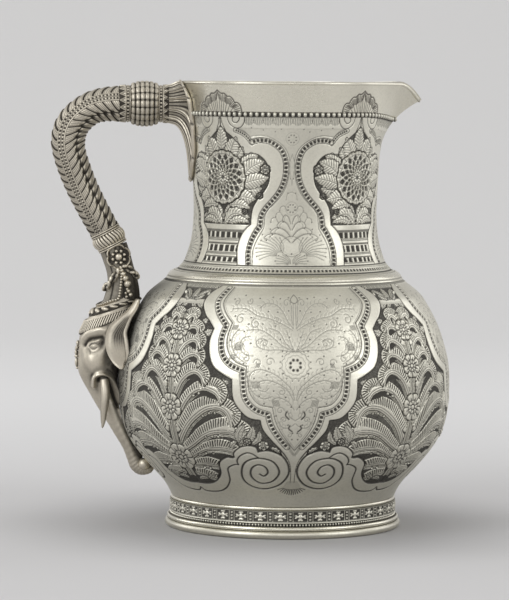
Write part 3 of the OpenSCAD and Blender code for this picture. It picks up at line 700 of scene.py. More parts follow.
def engraving(f):
    """Fine bright-cut scrollwork in the smooth bay of the body."""
    stems = [
        [(0.4, 116), (0.5, 111), (0.4, 106)], [(1.1, 115), (1.2, 110), (0.5, 104.6)],
        [(0.6, 104.3), (2.6, 108), (4.7, 112.6), (7.4, 115.4), (11, 116), (13.4, 113.8)],
        [(0.8, 103.6), (4.4, 106.4), (9.5, 109), (14, 110.2), (19, 113.4), (24.4, 113.2)],
        [(0.2, 93.6), (1.6, 98), (3.0, 103.4)], [(0.4, 93.6), (3.2, 97.4), (5.6, 102.6), (9.4, 104.6)],
        [(0.6, 93.6), (4.6, 96.4), (8.4, 100.8), (12.4, 103.6), (17.4, 103.4)],
        [(0.8, 93.4), (5.6, 94.4), (9.6, 94.2), (12.8, 95.6), (13.6, 98.2), (11.6, 99.6), (9.4, 98.4)],
        [(0.3, 70.4), (1.2, 75.2), (3.6, 79), (7.1, 82.8), (11.9, 84.9), (15.0, 82.8), (15.6, 77.4),
         (13.4, 73), (10.8, 71), (8.2, 71.6)],
        [(0.6, 70.2), (2.8, 75.4), (6.2, 78.6), (9.8, 79.8), (12.4, 78.4), (12.2, 75.4), (10.2, 74.4),
         (8.8, 76)],
        [(0.4, 65.8), (2.4, 69.6), (5.4, 71.6), (7.6, 70.6)],
        [(16.4, 87.6), (19.8, 90.4), (22.2, 95), (22.4, 100), (20.2, 104)],
        [(14.4, 91.2), (17.4, 92), (19.4, 95.2), (18.6, 99.4), (15.8, 100.6)],
        [(0, 60.6), (1.8, 62.4), (2.6, 65.4)], [(0.2, 59), (2.2, 57), (4.4, 57.4), (5.4, 60)],
    ]
    for number, line in enumerate(stems):
        f.stroke(line, FINE, 0.1, 0.62)
        if number > 1:
            leaflets(f, line, 1)
            leaflets(f, line, -1, 2.9, 1.6)
    for a, z, radius, start, sweep in [(3.0, 116.2, 2.2, 200, -400), (6.6, 108.4, 2.4, 180, 420),
                                       (14.4, 106.6, 2.6, 90, -430), (20.4, 108.6, 2.6, 120, -420),
                                       (10.7, 97.3, 2.0, 0, 400), (19.8, 95.4, 2.8, 200, -430),
                                       (16.8, 90, 1.8, 90, 380), (8.6, 88.6, 2.2, 180, -400),
                                       (12.8, 88.2, 2.0, 0, 400), (4.6, 74.4, 1.9, 90, 400),
                                       (5.0, 65.4, 1.9, 180, -400), (1.9, 53.4, 1.3, 90, 380),
                                       (3.8, 61.0, 1.5, 0, 400), (23.2, 116.4, 1.7, 90, 400),
                                       (17.6, 117, 1.8, 0, -400)]:
        f.cut(spiral(a, z, radius, start, sweep), FINE, 0.1, 0.6)
    # Bud with its sepals, over the stems
    f.stroke([(0, 120), (1.3, 118.2), (1.1, 116.6), (0, 116)], 0.5, 0.12, 0.8)
    # Shaded leaf curls: short deep strokes side by side
    for a, z, out, count, tall in [(19.9, 95.4, 1, 6, 1.5), (21.6, 90.6, 1, 4, 1.1),
                                   (13.2, 77.4, -1, 6, 1.5),
                                   (6.5, 68.8, -1, 5, 1.4), (12.6, 86.8, 1, 3, 0.9),
                                   (22.0, 104.6, 1, 4, 1.0)]:
        for i in range(count):
            x = a + out * (i - count / 2) * 0.5
            f.cut([(x, z + tall), (x + 0.6 * out, z - tall)], 0.5, 0.12, 0.66)
    for a, z, tall in [(2.7, 63, 1.8), (1.6, 56.6, 1.4)]:
        f.stroke([(a - 0.6, z - tall), (a + 0.5, z), (a + 0.2, z + tall)], 1.0, 0.2, 0.9)
    # Rosette: eight dots in a scalloped ring of leaves
    for count, radius, size, deep in [(8, 2.6, 1.7, 0.97), (16, 7.6, 0.8, 0.85)]:
        for k in range(count):
            t = 2 * math.pi * (k + 0.5) / count
            f.punch((radius * math.sin(t) / ROSETTE_MM, 87.2 + radius * math.cos(t)), size, 0.16, deep)
    t = np.linspace(-math.pi / 2, math.pi / 2, 60)
    scallop = 6.2 + 0.6 * np.abs(np.sin(6 * t))
    for shrink, deep in [(1.0, 0.6), (0.72, 0.4)]:
        x, z = shrink * scallop * np.cos(t), shrink * scallop * np.sin(t)
        f.cut(np.stack([x / ROSETTE_MM, 87.2 + z], 1), FINE, 0.1, deep)
    for a, z in [(2.2, 118.6), (5.6, 118.2), (8.6, 118.8), (14, 118.2), (20.4, 119.4), (24.6, 117.6),
                 (6.4, 112), (2.2, 112.6), (10, 112.2), (16.4, 109.2), (22.8, 109.8), (7, 105.6),
                 (2, 100.4), (11.8, 106.4), (5.2, 99.4), (17, 106.2), (8.2, 97), (15.6, 97.2), (4.4, 93.8),
                 (9.8, 91.4), (17.6, 87.6), (23.2, 98.4), (18.4, 102.8), (9, 85.4), (4.2, 83.2),
                 (13.8, 80.6), (9.6, 82.4), (3.2, 71.8), (10.4, 68.6), (12, 72.2), (1.4, 67.2), (6.4, 62.8),
                 (1, 51.2), (2.4, 58.4), (0.8, 54.4), (7.2, 74.8)]:
        f.punch((a, z), 0.95, 0.14, 0.9)


# ---------------------------------------------------------------- the neck's ornament
def neck_relief():
    """Ornament of the neck: floral panel with its medallion, keyhole-shaped field and plinth."""
    f = Relief(NECK, SEAM_Z, BEAD_Z, 128, 272)
    f.dark += 0.02
    floral = joined([(45, 200.5), (41.5, 197.8), (37.6, 195.4), (33.5, 192.5), (30.4, 189), (28.7, 185.8)],
                    [(28.7, 185.8), (27, 186.6), (23.2, 187.1), (19, 185.8), (15.7, 183), (13.9, 179.5),
                     (13.6, 175.5), (14.8, 171.6), (17.4, 168.3), (21.2, 164.6), (24.2, 160.4),
                     (25.2, 156.2), (25.4, 152.6)])
    held = f.inside(np.vstack([floral, [(46, 152.6), (46, 200.5)]]))
    f.sunk_ground(held, 0.5)

    # Leaves round the medallion
    for spine, width in [([(45, 186), (45, 192), (45, 199.8)], 7.4),
                         ([(35, 184.5), (32.0, 187.8), (30.2, 190.0)], 4.6),
                         ([(40, 184.5), (37.4, 190), (34.4, 194.4)], 8.4),
                         ([(31.5, 180), (26.5, 184.2), (21.0, 186.2)], 6.2),
                         ([(31.5, 175.5), (25, 180.2), (17.6, 183.2)], 9.0),
                         ([(31, 168.5), (26.5, 169.4), (19.0, 170.0)], 8.2),
                         ([(31, 172), (23, 174), (15.0, 175.4)], 7.6),
                         ([(36, 164.6), (30.5, 165.8), (23.2, 164.8)], 8.0),
                         ([(39, 162), (33.5, 162), (26.6, 160.6)], 6.2),
                         ([(44.3, 155), (42, 158.6), (41, 161.8)], 3.4),
                         ([(43.6, 153.2), (37, 157.6), (26.8, 156.0)], 6.6),
                         ([(40, 153.2), (33.6, 155), (26.8, 153.8)], 3.8)]:
        f.leaf(spine, width, ribs=1.5, height=0.5, dark=0.03, serrate=0.14)
    for centre, size in [((16.2, 179.4), 4.6), ((19.6, 166.6), 2.6), ((29.5, 158.8), 2.2)]:
        f.flower(centre, size, petals=6)
    f.cut([(44.2, 152.6), (44.2, 163)], 0.45, 0.2, 0.9)
    medallion(f, (45, 175.4))
    f.cut(floral, 0.6, 0.25, 0.95)

    # Scrolls under the beads, on either side of the bud
    f.stroke([(45, 206), (44, 203.6), (43.6, 201.6), (41.5, 198.2)], 0.5, 0.3, 0.95)
    f.cut([(45, 206.2), (45, 199.8)], 0.9, 0.4, 0.95)
    f.stroke([(28.2, 206), (28.4, 202.6), (30.8, 199.9), (34.2, 199.4), (37.8, 201.2), (39.4, 204),
              (39.2, 206.2)],
          0.5, 0.25, 0.9)
    f.stroke([(31.4, 206), (31.6, 203.6), (33.6, 202), (35.8, 202.6), (36, 204.4), (34.8, 204.8)],
             0.5, 0.25, 0.9)

    # Band of small dark squares round the keyhole-shaped smooth field
    upper = smooth([(34.6, 198.4), (31.3, 197.4), (27.6, 195.6), (24.2, 192.2)])
    dots = joined([(23.9, 192.7), (19.5, 193.6), (14.2, 193.2), (10.6, 191.8), (7, 189.4), (4.9, 186.3),
                   (3.7, 182.2), (3.8, 177.3), (5.3, 172.4), (8.2, 167.8), (12.3, 163.7), (16.3, 160.1),
                   (18.8, 156.3), (19.4, 151.6)],
                  [(19.4, 151.6), (21.9, 148.8), (24.5, 144.5), (25.7, 140), (25.4, 136), (24.5, 132.8)])
    inner = joined([(32.6, 199.4), (28.8, 198), (25.6, 195.3)],
                   [(25.6, 195.3), (19, 195.9), (13.5, 195.2), (7.6, 192.5), (3.7, 189.2), (1.7, 184.9),
                    (1.4, 179.1), (2.7, 173.2), (5.4, 168), (9.7, 163.5), (14, 160.1), (16.3, 156.8),
                    (16.8, 151)],
                   [(16.8, 151), (18.6, 148.4), (21.5, 144), (23, 139.1), (22.3, 132.8)])
    outer = joined([(25.4, 152.6), (28.4, 150.5), (31, 147.8), (32.8, 144.1), (33.3, 139.8), (31.5, 132.8)])
    smooth_field = f.inside(np.vstack([inner, [(-1, 132.8), (-1, 199.4)]]))
    f.fill(smooth_field, -0.12, 0.15)
    f.hole_band(upper, 2.0, 1.3, 0.95, edge=0.8)
    f.hole_band(dots, 2.4, 2.0, 1.55, 0.4, 0.97, 0.85)
    f.cut(inner, 0.4, 0.14, 0.7)
    keyhole_engraving(f)

    # Plinth of three rows of squares, between plain bars
    low = f.inside(np.vstack([outer, [(46, 132.8), (46, 152.6)]]))
    f.fill(low, -0.05, 0.08)
    for z in (152.4, 149.5, 148.9, 145.4, 144.7, 143.1, 142.9, 138.6, 138.0, 136.7, 133.9):
        f.sink(fade(np.abs(f.z[:, None] - z), 0.1, 0.34) * low, 0.15, 0.85)
    for z0, z1 in [(145.9, 148.5), (139.4, 142.1), (134.3, 136.5)]:
        cell = (np.abs(f.a[None] - HALF_BAY) * f.k[:, None] / 3.3 + 0.25) % 1
        row = low & (f.z[:, None] > z0) & (f.z[:, None] < z1)
        hole = row & (cell < 0.68)
        f.fill(row, 0.0, 0.1)
        f.fill(hole, -0.45, 0.95)
        rise = np.clip((cell - 0.68) / 0.32, 0, 1)
        f.height = np.where(row & ~hole, 0.12 * np.sin(math.pi * rise), f.height)
    f.cut(outer, 0.6, 0.28, 0.95)

    # Border of dots round the foot of the neck
    z = f.z[:, None]
    belt = (z < 132.8) & (f.a[None] >= 0)
    f.fill(belt, 0.0, 0.1)
    for at, wide, dark in [(132.7, 0.5, 0.85), (131.9, 0.3, 0.45), (129.0, 0.6, 0.9), (128.2, 0.4, 0.5)]:
        f.sink(fade(np.abs(z - at), wide * 0.3, wide * 0.8), 0.2, dark)
    cell = np.abs((f.a[None] / 2.25) % 1 - 0.5) * 2.25 * f.k[:, None]
    f.sink(fade(cell, 0.45, 0.75) * fade(np.abs(z - 130.5), 0.4, 0.7), 0.3, 0.96)
    # Dark band just under the bead wire: patina in the crevice with painted shade of the beads.
    f.dark = np.where((z > BEAD_Z - 1.3) & (f.a[None] >= 0), 0.9, f.dark)
    return f


def medallion(f, centre):
    """Dahlia of overlapping round petals in rings, with dark diamond gaps between them."""
    petals = 16
    spread = 360 / petals
    r, angle, rows, cols = f.polar(centre, 15)
    edge = 12.5 + 0.7 * np.abs(np.cos(np.radians(angle * 8)))
    height = 0.28 + 0.2 * np.sqrt(np.clip(1 - (r / 14) ** 2, 0, 1)) + 0 * angle
    shade = 0.1 + 0 * r
    for ring, (radius, tall, share) in enumerate([(9.9, 2.15, 0.45), (7.5, 1.85, 0.46), (5.4, 1.5, 0.46),
                                                  (3.7, 1.0, 0.43)]):
        cell = ((angle + spread / 2 * (ring % 2)) / spread) % 1 - 0.5
        u = np.abs(cell) * 2 * math.pi * radius / petals
        v = np.abs(r - radius)
        wide = share * 2 * math.pi * radius / petals
        gap = fade(u / wide + v / tall, 0.72, 1.0)
        rib = fade(u, 0.05, 0.22) * step(r, radius - 0.4, radius + 0.1)
        height = height - 0.75 * gap * (1 - 0.3 * rib)
        shade = np.maximum(shade, 0.97 * gap * (1 - 0.3 * rib))
        # Fine line where one petal lies over the next
        arc = np.abs(np.hypot(u, r - radius + tall * 0.9) - tall * 1.75)
        line = fade(arc, 0.05, 0.26) * (r > radius - 0.3) * 0.8
        shade = np.maximum(shade, line)
        height = height - 0.12 * line
    # Seams between the outermost petals
    notch = np.abs(((angle + spread / 2) / spread) % 1 - 0.5) * math.radians(spread) * r
    notch = fade(notch, 0.05, 0.32) * step(r, 10.4, 11.2)
    shade = np.maximum(shade, 0.85 * notch)
    height = height - 0.25 * notch
    wave = np.abs((angle / 45) % 1 - 0.5) * 2
    heart = r < 2.7
    petal = 0.35 + 0.25 * np.sqrt(np.clip(1 - ((r - 1.7) / 1.0) ** 2, 0, 1)) * wave
    seam = np.maximum(fade(wave * r * 0.4, 0.05, 0.3), fade(np.abs(r - 2.6), 0.1, 0.35))
    seam = np.maximum(seam, fade(np.abs(r - 0.8), 0.08, 0.3))
    height = np.where(heart, petal - 0.3 * seam, height)
    shade = np.where(heart, 0.1 + 0.8 * seam, shade)
    f.stamp(rows, cols, r < edge, height, shade, r < edge + 0.6, rim=0.95)


def keyhole_engraving(f):
    """Fine bright-cut engraving in the smooth field of the neck."""
    # Rosettes of eight dots, each in a faint ring
    for z in (194.4, 160.5):
        for k in range(8):
            t = 2 * math.pi * (k + 0.5) / 8
            f.punch((1.9 * math.sin(t) / NECK_MM, z + 1.9 * math.cos(t)), 0.85, 0.12, 0.9)
        t = np.linspace(0, math.pi, 12)
        f.cut(np.stack([3.2 * np.sin(t) / NECK_MM, z + 3.2 * np.cos(t)], 1), 0.34, 0.06, 0.4)
    # Fringe of short hatching under the beads, in groups with a dot between them
    f.cut([(0, 204.6), (27.4, 204.6)], 0.34, 0.06, 0.4)
    for i in range(5):
        middle = 2.9 + i * 5.6
        for j in range(6):
            lean = (j - 2.5) / 2.5
            x = middle + 2.3 * lean
            f.cut([(x, 204.4), (x + 0.5 * lean, 202.6), (x - 0.1 * lean, 200.9 + 0.8 * lean ** 2)],
                  0.36, 0.1, 0.75)
        f.punch((middle + 2.8, 203), 0.8, 0.12, 0.85)
    for a, z in [(10, 197.8), (17, 198.6), (6.5, 199), (24, 199.6), (0.9, 175), (2.4, 168), (12.8, 150.4),
                 (17.6, 147.6)]:
        f.punch((a, z), 0.75, 0.12, 0.8)
    f.stroke([(0, 187), (1.6, 182), (0.9, 177), (0, 172)], 0.36, 0.08, 0.55)
    f.stroke([(0, 168.6), (2.6, 167.4), (3.4, 164.6)], 0.36, 0.08, 0.55)
    # Fountain of curling stems, then a round boss with plumes spread on either side of it
    for z, reach in [(156.4, 5.4), (153.4, 8.6), (150.2, 12.4), (147.4, 16.2)]:
        for size, deep in ((1.0, 0.72), (0.8, 0.5)):
            out = reach * size
            f.stroke([(0.5, z - 3.4), (0.32 * out, z - 0.4), (0.7 * out, z + 1.0 * size), (out, z - 0.8),
                          (0.97 * out, z - 2.2)], 0.36, 0.1, deep)
        f.punch((0.93 * reach, z - 2.4), 0.85, 0.12, 0.85)
    t = np.linspace(0, math.pi, 14)
    f.cut(np.stack([6.6 * np.sin(t), 142.2 + 4.8 * np.cos(t)], 1), 0.38, 0.1, 0.6)
    f.cut(np.stack([5.2 * np.sin(t), 142.2 + 3.7 * np.cos(t)], 1), 0.32, 0.05, 0.3)
    for a, z, long, first, last, count in [(5.6, 137.4, 10.6, 84, -12, 10), (0.6, 132.9, 6.4, 72, 10, 6)]:
        for i in range(count):
            t = i / (count - 1)
            turn = math.radians(first + (last - first) * t)
            bend = turn + 0.26
            size = long * (0.84 + 0.22 * math.sin(math.pi * t))
            plume = [(a + share * size * math.cos(angle) / PLUME_MM, z + share * size * math.sin(angle))
                     for share, angle in ((0.2, bend), (0.55, bend), (1, turn))]
            f.cut(smooth(plume, 4), 0.34, 0.08, 0.66)
            if i % 2 == 0:
                f.punch(plume[-1], 0.8, 0.1, 0.75)
    f.punch((0, 138.6), 0.9, 0.12, 0.9)
    # Small stems that hang beside the lower rosette
    for a, z, turn in [(5.2, 161.6, 1.0), (7.6, 158.6, 1.1), (10.6, 156.0, 1.2)]:
        f.stroke([(a - 2.6, z - 2.4), (a - 0.8, z), (a + 1.4, z - 0.4 * turn), (a + 2.0, z - 2.0)],
                 0.36, 0.1, 0.65)
        f.punch((a + 2.0, z - 2.2), 0.8, 0.1, 0.8)


# ---------------------------------------------------------------- skins of the vessel
def sheet(outer, direction, dark):
    """Points, quads, triangles and patina of a closed sheet: a fine outer grid (rows, columns, 3),
    a coarser inner grid a wall's thickness below it, and the edges between the two."""
    ratio = 8
    rows, cols = outer.shape[:2]
    inner = (outer - direction * WALL)[::ratio, ::ratio]
    inner_rows, inner_cols = inner.shape[:2]
    top = np.arange(rows * cols).reshape(rows, cols)
    low = rows * cols + np.arange(inner_rows * inner_cols).reshape(inner_rows, inner_cols)
    quads = [grid_faces(rows, cols, False), grid_faces(inner_rows, inner_cols, False, rows * cols)[:, ::-1]]
    tris = []
    for o, i in [(top[0], low[0]), (top[:, -1], low[:, -1]), (top[-1, ::-1], low[-1, ::-1]),
                 (top[::-1, 0], low[::-1, 0])]:
        for j in range(len(o) - 1):
            q, part = divmod(j, ratio)
            tris.append((o[j + 1], o[j], i[q] if part < ratio // 2 else i[q + 1]))
            if part == ratio // 2:
                tris.append((o[j], i[q], i[q + 1]))
    verts = np.concatenate([outer.reshape(-1, 3), inner.reshape(-1, 3)])
    return verts, quads + [tris], np.concatenate([dark.ravel(), np.full(inner_rows * inner_cols, 0.15)])


def handle_shadow_and_tarnish(x, y, z):
    """Painted shadow of the handle, with some tarnish that polishing cannot reach: on the body behind the
    handle and under the rim.
    """
    round_from_handle = np.hypot(x, y) * np.arctan2(y, -x)
    on_body = np.exp(-(round_from_handle / 24) ** 4) * step(z, 30, 70) * fade(z, 119, 128)
    under_rim = np.exp(-(round_from_handle / 13) ** 4) * step(z, 196, 210)
    return 0.6 * on_body + 0.35 * under_rim


def vessel_skins(prefix, relief, radius_at, level_at, bays, material, slot, node):
    """Pieces of the chased wall. Each spans a whole bay (side 0) or half of one (side -1 or 1), so
    that a mesh keeps its fine detail. The ornament is the same in every bay, and mirrored about
    the bay's middle."""
    for number, (middle, side) in enumerate(bays):
        if side == 0:
            height = np.concatenate([relief.height[:, :0:-1], relief.height], 1)
            dark = np.concatenate([relief.dark[:, :0:-1], relief.dark], 1)
            turn = np.concatenate([-relief.a[:0:-1], relief.a])
        else:
            height, dark, turn = relief.height.copy(), relief.dark, relief.a * side
        # The slope is level where two pieces meet, so no crease shows
        height[:, 0] = height[:, 1]
        height[:, -1] = height[:, -2]
        if side < 0:
            height, dark, turn = height[:, ::-1], dark[:, ::-1], turn[::-1]
        azimuth = np.radians(middle + turn)[None]
        z = level_at(azimuth, relief.z[:, None]) + 0 * azimuth
        r = radius_at(azimuth, z)
        rise = np.gradient(r, axis=0)
        climb = np.gradient(z, axis=0)
        size = np.hypot(rise, climb)
        out_r, out_z = climb / size, -rise / size
        points = np.stack([r * np.sin(azimuth), -r * np.cos(azimuth), z], -1)
        direction = np.stack([out_r * np.sin(azimuth), -out_r * np.cos(azimuth), out_z], -1)
        outer = points + direction * height[..., None]
        verts, faces, shade = sheet(outer, direction, dark)
        # Adds the painted shadow of the handle, with some tarnish, to each piece's patina.
        obj = make_mesh(f"{prefix}_{number + 1}", verts, faces, shade + handle_shadow_and_tarnish(*verts.T), sharp=62)
        place(obj, material, slot, node)


# ---------------------------------------------------------------- materials
class Shader:
    """A new material with one surface shader, and helpers that add nodes and link them."""

    def __init__(self, name):
        self.material = bpy.data.materials.new(name)
        self.material.use_nodes = True
        self.tree = self.material.node_tree
        self.tree.nodes.clear()
        shader = self.add("BsdfPrincipled")
        self.surface = shader.inputs
        self.add("OutputMaterial", [("Surface", shader.outputs[0])])
        self.place = self.add("TexCoord").outputs["Object"]

    def add(self, kind, inputs=(), **settings):
        """New node. inputs pairs a socket with a number, a colour or another node's output."""
        node = self.tree.nodes.new("ShaderNode" + kind)
        for key, value in settings.items():
            setattr(node, key, value)
        for key, value in inputs:
            self.put(node.inputs[key], value)
        return node

    def put(self, socket, value):
        if isinstance(value, bpy.types.NodeSocket):
            self.tree.links.new(value, socket)
        else:
            socket.default_value = value

    def noise(self, scale, detail, stretch=None):
        source = self.place
        if stretch:
            source = self.add("Mapping", [("Vector", source), ("Scale", stretch)]).outputs["Vector"]
        return self.add("TexNoise", [("Scale", scale), ("Detail", detail),
                                     ("Vector", source)]).outputs["Fac"]

    def ramp(self, source, low, high, to_low=0.0, to_high=1.0, kind="LINEAR"):
        ends = [("From Min", low), ("From Max", high), ("To Min", to_low), ("To Max", to_high)]
        return self.add("MapRange", [("Value", source)] + ends, interpolation_type=kind).outputs["Result"]

    def math(self, kind, a, b):
        return self.add("Math", [(0, a), (1, b)], operation=kind, use_clamp=True).outputs[0]

    def mix(self, share, a, b, kind="MIX"):
        inputs = [("Fac", share), ("Color1", a), ("Color2", b)]
        return self.add("MixRGB", inputs, blend_type=kind).outputs["Color"]


def silver(name, light, dark, rough, tarnish, scratch=0.35):
    """Worn silver: bright on its high places, black oxide in its hollows (the patina attribute,
    which also carries painted shade and painted highlights), with cloudy tarnish, fine scratches
    and slightly uneven gloss."""
    m = Shader(name)
    patina_and_shade = m.add("Attribute", attribute_name="patina_and_shade").outputs["Fac"]
    clouds = m.ramp(m.noise(26.0, 6.0), 0.42, 0.72)
    specks = m.ramp(m.noise(900.0, 3.0), 0.45, 0.8)
    shade = m.math("ADD", patina_and_shade, m.math("MULTIPLY", clouds, tarnish))
    shade = m.math("ADD", shade, m.math("MULTIPLY", specks, 0.10))
    m.put(m.surface["Base Color"], m.mix(shade, (*light, 1), (*dark, 1)))
    scratches = m.ramp(m.noise(240.0, 4.0, (1.0, 1.0, 9.0)), 0.35, 0.7)
    gloss = m.math("ADD", m.ramp(shade, 0.0, 1.0, rough, 0.72), m.math("MULTIPLY", scratches, 0.08))
    m.put(m.surface["Roughness"], gloss)
    m.put(m.surface["Metallic"], m.ramp(shade, 0.25, 1.0, 1.0, 0.35))
    dents = m.math("ADD", m.math("MULTIPLY", m.noise(150.0, 3.0), 0.7), m.math("MULTIPLY", scratches, 0.25))
    bump = m.add("Bump", [("Strength", scratch), ("Distance", 0.00006), ("Height", dents)])
    m.put(m.surface["Normal"], bump.outputs["Normal"])
    return m.material


BRIGHT = (0.83, 0.805, 0.70)
OXIDE = (0.060, 0.056, 0.048)
CHASED = silver("chased_silver", BRIGHT, OXIDE, 0.30, 0.16)
POLISHED = silver("polished_silver", (0.84, 0.81, 0.695), (0.10, 0.09, 0.075), 0.22, 0.12, scratch=0.25)
WARM = silver("handle_silver", (0.76, 0.70, 0.585), (0.040, 0.034, 0.026), 0.33, 0.30, scratch=0.5)

# ---------------------------------------------------------------- camera, light, floor
scene = bpy.context.scene
CAMERA_TURN = math.radians(4.0)
CAMERA_AWAY = 1.675
CAMERA_HEIGHT = 0.2252
# Turns in order about the camera's own axes: toward the pitcher, down at it, and a slight roll
CAMERA_TURNS = [("Z", math.radians(0.51) - CAMERA_TURN),
                ("X", math.radians(90.0 - 3.84)),
                ("Z", math.radians(0.47))]
camera_data = bpy.data.cameras.new("camera")
camera = bpy.data.objects.new("camera", camera_data)
scene.collection.objects.link(camera)
camera.location = (-math.sin(CAMERA_TURN) * CAMERA_AWAY, -math.cos(CAMERA_TURN) * CAMERA_AWAY,
                   CAMERA_HEIGHT)
camera_data.sensor_width = 36.0
camera_data.lens = 201.0
camera_data.clip_start = 0.05
camera_data.clip_end = 30
aim = Matrix.Identity(4)
for axis, angle in CAMERA_TURNS:
    aim = aim @ Matrix.Rotation(angle, 4, axis)
camera.rotation_euler = aim.to_euler()
scene.camera = camera

FLOOR_GREY = (0.635, 0.627, 0.632)
WALL_GREY = (0.815, 0.812, 0.818)


def backdrop():
    """Pale seamless sweep: a floor that curves up into a wall behind."""
    wide, front, back, top, bend = 6.0, -3.5, 2.6, 4.5, 1.4
    rows = [(front, 0.0), (-1.5, 0.0), (0.5, 0.0), (back - bend, 0.0)]
    for i in range(1, 13):
        t = i / 12 * math.pi / 2
        rows.append((back - bend + bend * math.sin(t), bend - bend * math.cos(t)))
    rows.append((back, top))
    columns = np.linspace(-wide, wide, 9)
    verts = [(x / MM, y / MM, z / MM) for y, z in rows for x in columns]
    obj = make_mesh("backdrop", verts, [grid_faces(len(rows), len(columns), False)], sharp=None)
    m = Shader("backdrop_paper")
    m.put(m.surface["Roughness"], 0.9)
    m.put(m.surface["Specular IOR Level"], 0.1)
    # The paper is painted lighter up the wall than on the floor: painted light for the wall.
    depth = m.add("SeparateXYZ", [(0, m.place)]).outputs["Y"]
    paper = m.mix(m.ramp(depth, -0.1, 0.75, kind="SMOOTHSTEP"), (*FLOOR_GREY, 1), (*WALL_GREY, 1))
    grain = m.add("TexNoise", [("Scale", 3.0)]).outputs["Fac"]
    paper = m.mix(0.05, paper, grain, "MULTIPLY")
    # Painted contact shadow: the paper is darker round the foot.
    away = m.add("VectorMath", [(0, m.place)], operation="LENGTH").outputs["Value"]
    painted_contact_shadow = m.ramp(away, 0.05, 0.17, 0.7, 1.0, "SMOOTHSTEP")
    m.put(m.surface["Base Color"], m.mix(1.0, paper, painted_contact_shadow, "MULTIPLY"))
    obj.data.materials.append(m.material)


# Soft boxes: name, place, target's height, size, power and colour
LIGHTS = [("key", (-1.5, -1.4, 1.2), 0.12, (1.2, 1.7), 17.5, (0.96, 0.98, 1.0)),
          ("fill", (1.7, -1.1, 0.95), 0.12, (1.1, 1.6), 10, (0.97, 0.99, 1.0)),
          ("top", (-0.1, 0.4, 1.7), 0.05, (1.5, 1.2), 2.5, (0.95, 0.98, 1.0)),
          ("front", (0.1, -2.0, 0.8), 0.12, (1.7, 0.6), 3.6, (0.97, 0.98, 1.0)),
          ("left_rim", (-1.5, 0.7, 0.8), 0.12, (0.9, 1.4), 6, (0.97, 0.98, 1.0)),
          ("right_rim", (1.6, 0.7, 0.8), 0.12, (0.9, 1.4), 5, (0.97, 0.98, 1.0))]
WORLD_COLOUR = (1.0, 0.985, 0.955, 1)
WORLD_STRENGTH = 0.56


def soft_light(name, location, target_height, size, power, tint):
    """Rectangular soft box that faces a point on the pitcher's axis."""
    data = bpy.data.lights.new(name, "AREA")
    data.shape = "RECTANGLE"
    data.size, data.size_y = size
    data.energy = power
    data.color = tint
    lamp = bpy.data.objects.new(name, data)
    scene.collection.objects.link(lamp)
    lamp.location = location
    ray = Vector((0, 0, target_height)) - Vector(location)
    lamp.rotation_euler = ray.to_track_quat("-Z", "Y").to_euler()


backdrop()
world = bpy.data.worlds.new("studio")
scene.world = world
world.use_nodes = True
background = world.node_tree.nodes["Background"].inputs
background["Color"].default_value = WORLD_COLOUR
background["Strength"].default_value = WORLD_STRENGTH
for light in LIGHTS:
    soft_light(*light)
scene.view_settings.view_transform = "Standard"
scene.view_settings.look = "None"

# ---------------------------------------------------------------- the vessel
BODY_RELIEF = body_relief()
HALVES = [(90 * q, side) for q in range(4) for side in (-1, 1)]
vessel_skins("body_skin", BODY_RELIEF, lambda a, z: body_radius(z), lambda a, z: z, HALVES, CHASED,
             "chased_silver", "body_shell")


def neck_level(azimuth, z):
    """Height of a point of the neck: its upper edge follows the bead wire, which dips at the lip."""
    from_lip = np.arctan2(-np.cos(azimuth), np.sin(azimuth))
    top = bead_height(from_lip)
    share = np.clip((z - 150) / (BEAD_Z - 150), 0, 1) ** 2
    return z - (BEAD_Z - top) * share


def neck_wall(azimuth, z):
    """Radius of the neck and collar, with azimuths in radians from -Y."""
    return vessel_radius(np.arctan2(-np.cos(azimuth), np.sin(azimuth)), z)


NECK_RELIEF = neck_relief()
BAYS = [(90 * q, 0) for q in range(4)]
vessel_skins("neck_skin", NECK_RELIEF, neck_wall, neck_level, BAYS, CHASED, "chased_silver", "neck_shell")


# ---------------------------------------------------------------- rim, mouldings and foot
def on_vessel(azimuth, r, z):
    """Point from an azimuth in radians from -Y, a radius and a height."""
    return np.stack([r * np.sin(azimuth), -r * np.cos(azimuth), z + 0 * azimuth], -1)


def collar_relief():
    """Plain collar with an engraved shell over each leafy panel."""
    f = Relief(NECK, BEAD_Z, RIM_Z, 136, 56)
    f.dark += 0.03
    shell = smooth([(45, 217.8), (42.8, 216.2), (39.4, 215.9), (38, 214.3), (35.2, 213.9), (33.4, 211.6),
                    (31, 210.8), (29.8, 208)], 6)
    lobed = joined([(45, 217.8), (42.6, 216.3), (40.2, 216.2), (38.4, 214.8)],
                   [(38.4, 214.8), (36.6, 214.7), (34.8, 213.4), (33.8, 211.8)],
                   [(33.8, 211.8), (32, 211.7), (30.4, 210.4), (29.6, 207.6)])
    f.cut(lobed, 0.8, 0.24, 0.97)
    for x, z in shell[1::2]:
        inward = (x + 0.34 * (42.5 - x), z - 0.36 * (z - 206))
        f.cut([(x + 0.4, z - 0.3), inward], 0.5, 0.12, 0.92)
    for x in (44.3, 43.2, 42.0, 40.6, 38.9, 36.8):
        f.cut([(x, 207.4), (45 - (45 - x) * 1.4, 212.8 - 0.03 * (45 - x) ** 2)], 0.45, 0.1, 0.85)
    # Dark band just over the bead wire: patina in the crevice with painted shade of the beads.
    beside = (f.z[:, None] < BEAD_Z + 1.35) & (f.a[None] >= 0)
    f.dark = np.where(beside, 0.9, f.dark)
    return f


def collar_level(azimuth, z):
    """Height on the collar: from the bead wire to the rim, both of which dip at the lip."""
    from_lip = np.arctan2(-np.cos(azimuth), np.sin(azimuth))
    share = (z - BEAD_Z) / (RIM_Z - BEAD_Z)
    low = bead_height(from_lip)
    return low + share * (lip_height(from_lip) - low)


def ring_path(offset, level, count):
    """Points round the vessel at a share of the way up the collar, moved outward by offset."""
    azimuth = circle(count)
    z = collar_level(azimuth, np.full(count, level))
    return on_vessel(azimuth, neck_wall(azimuth, z) + offset, z)


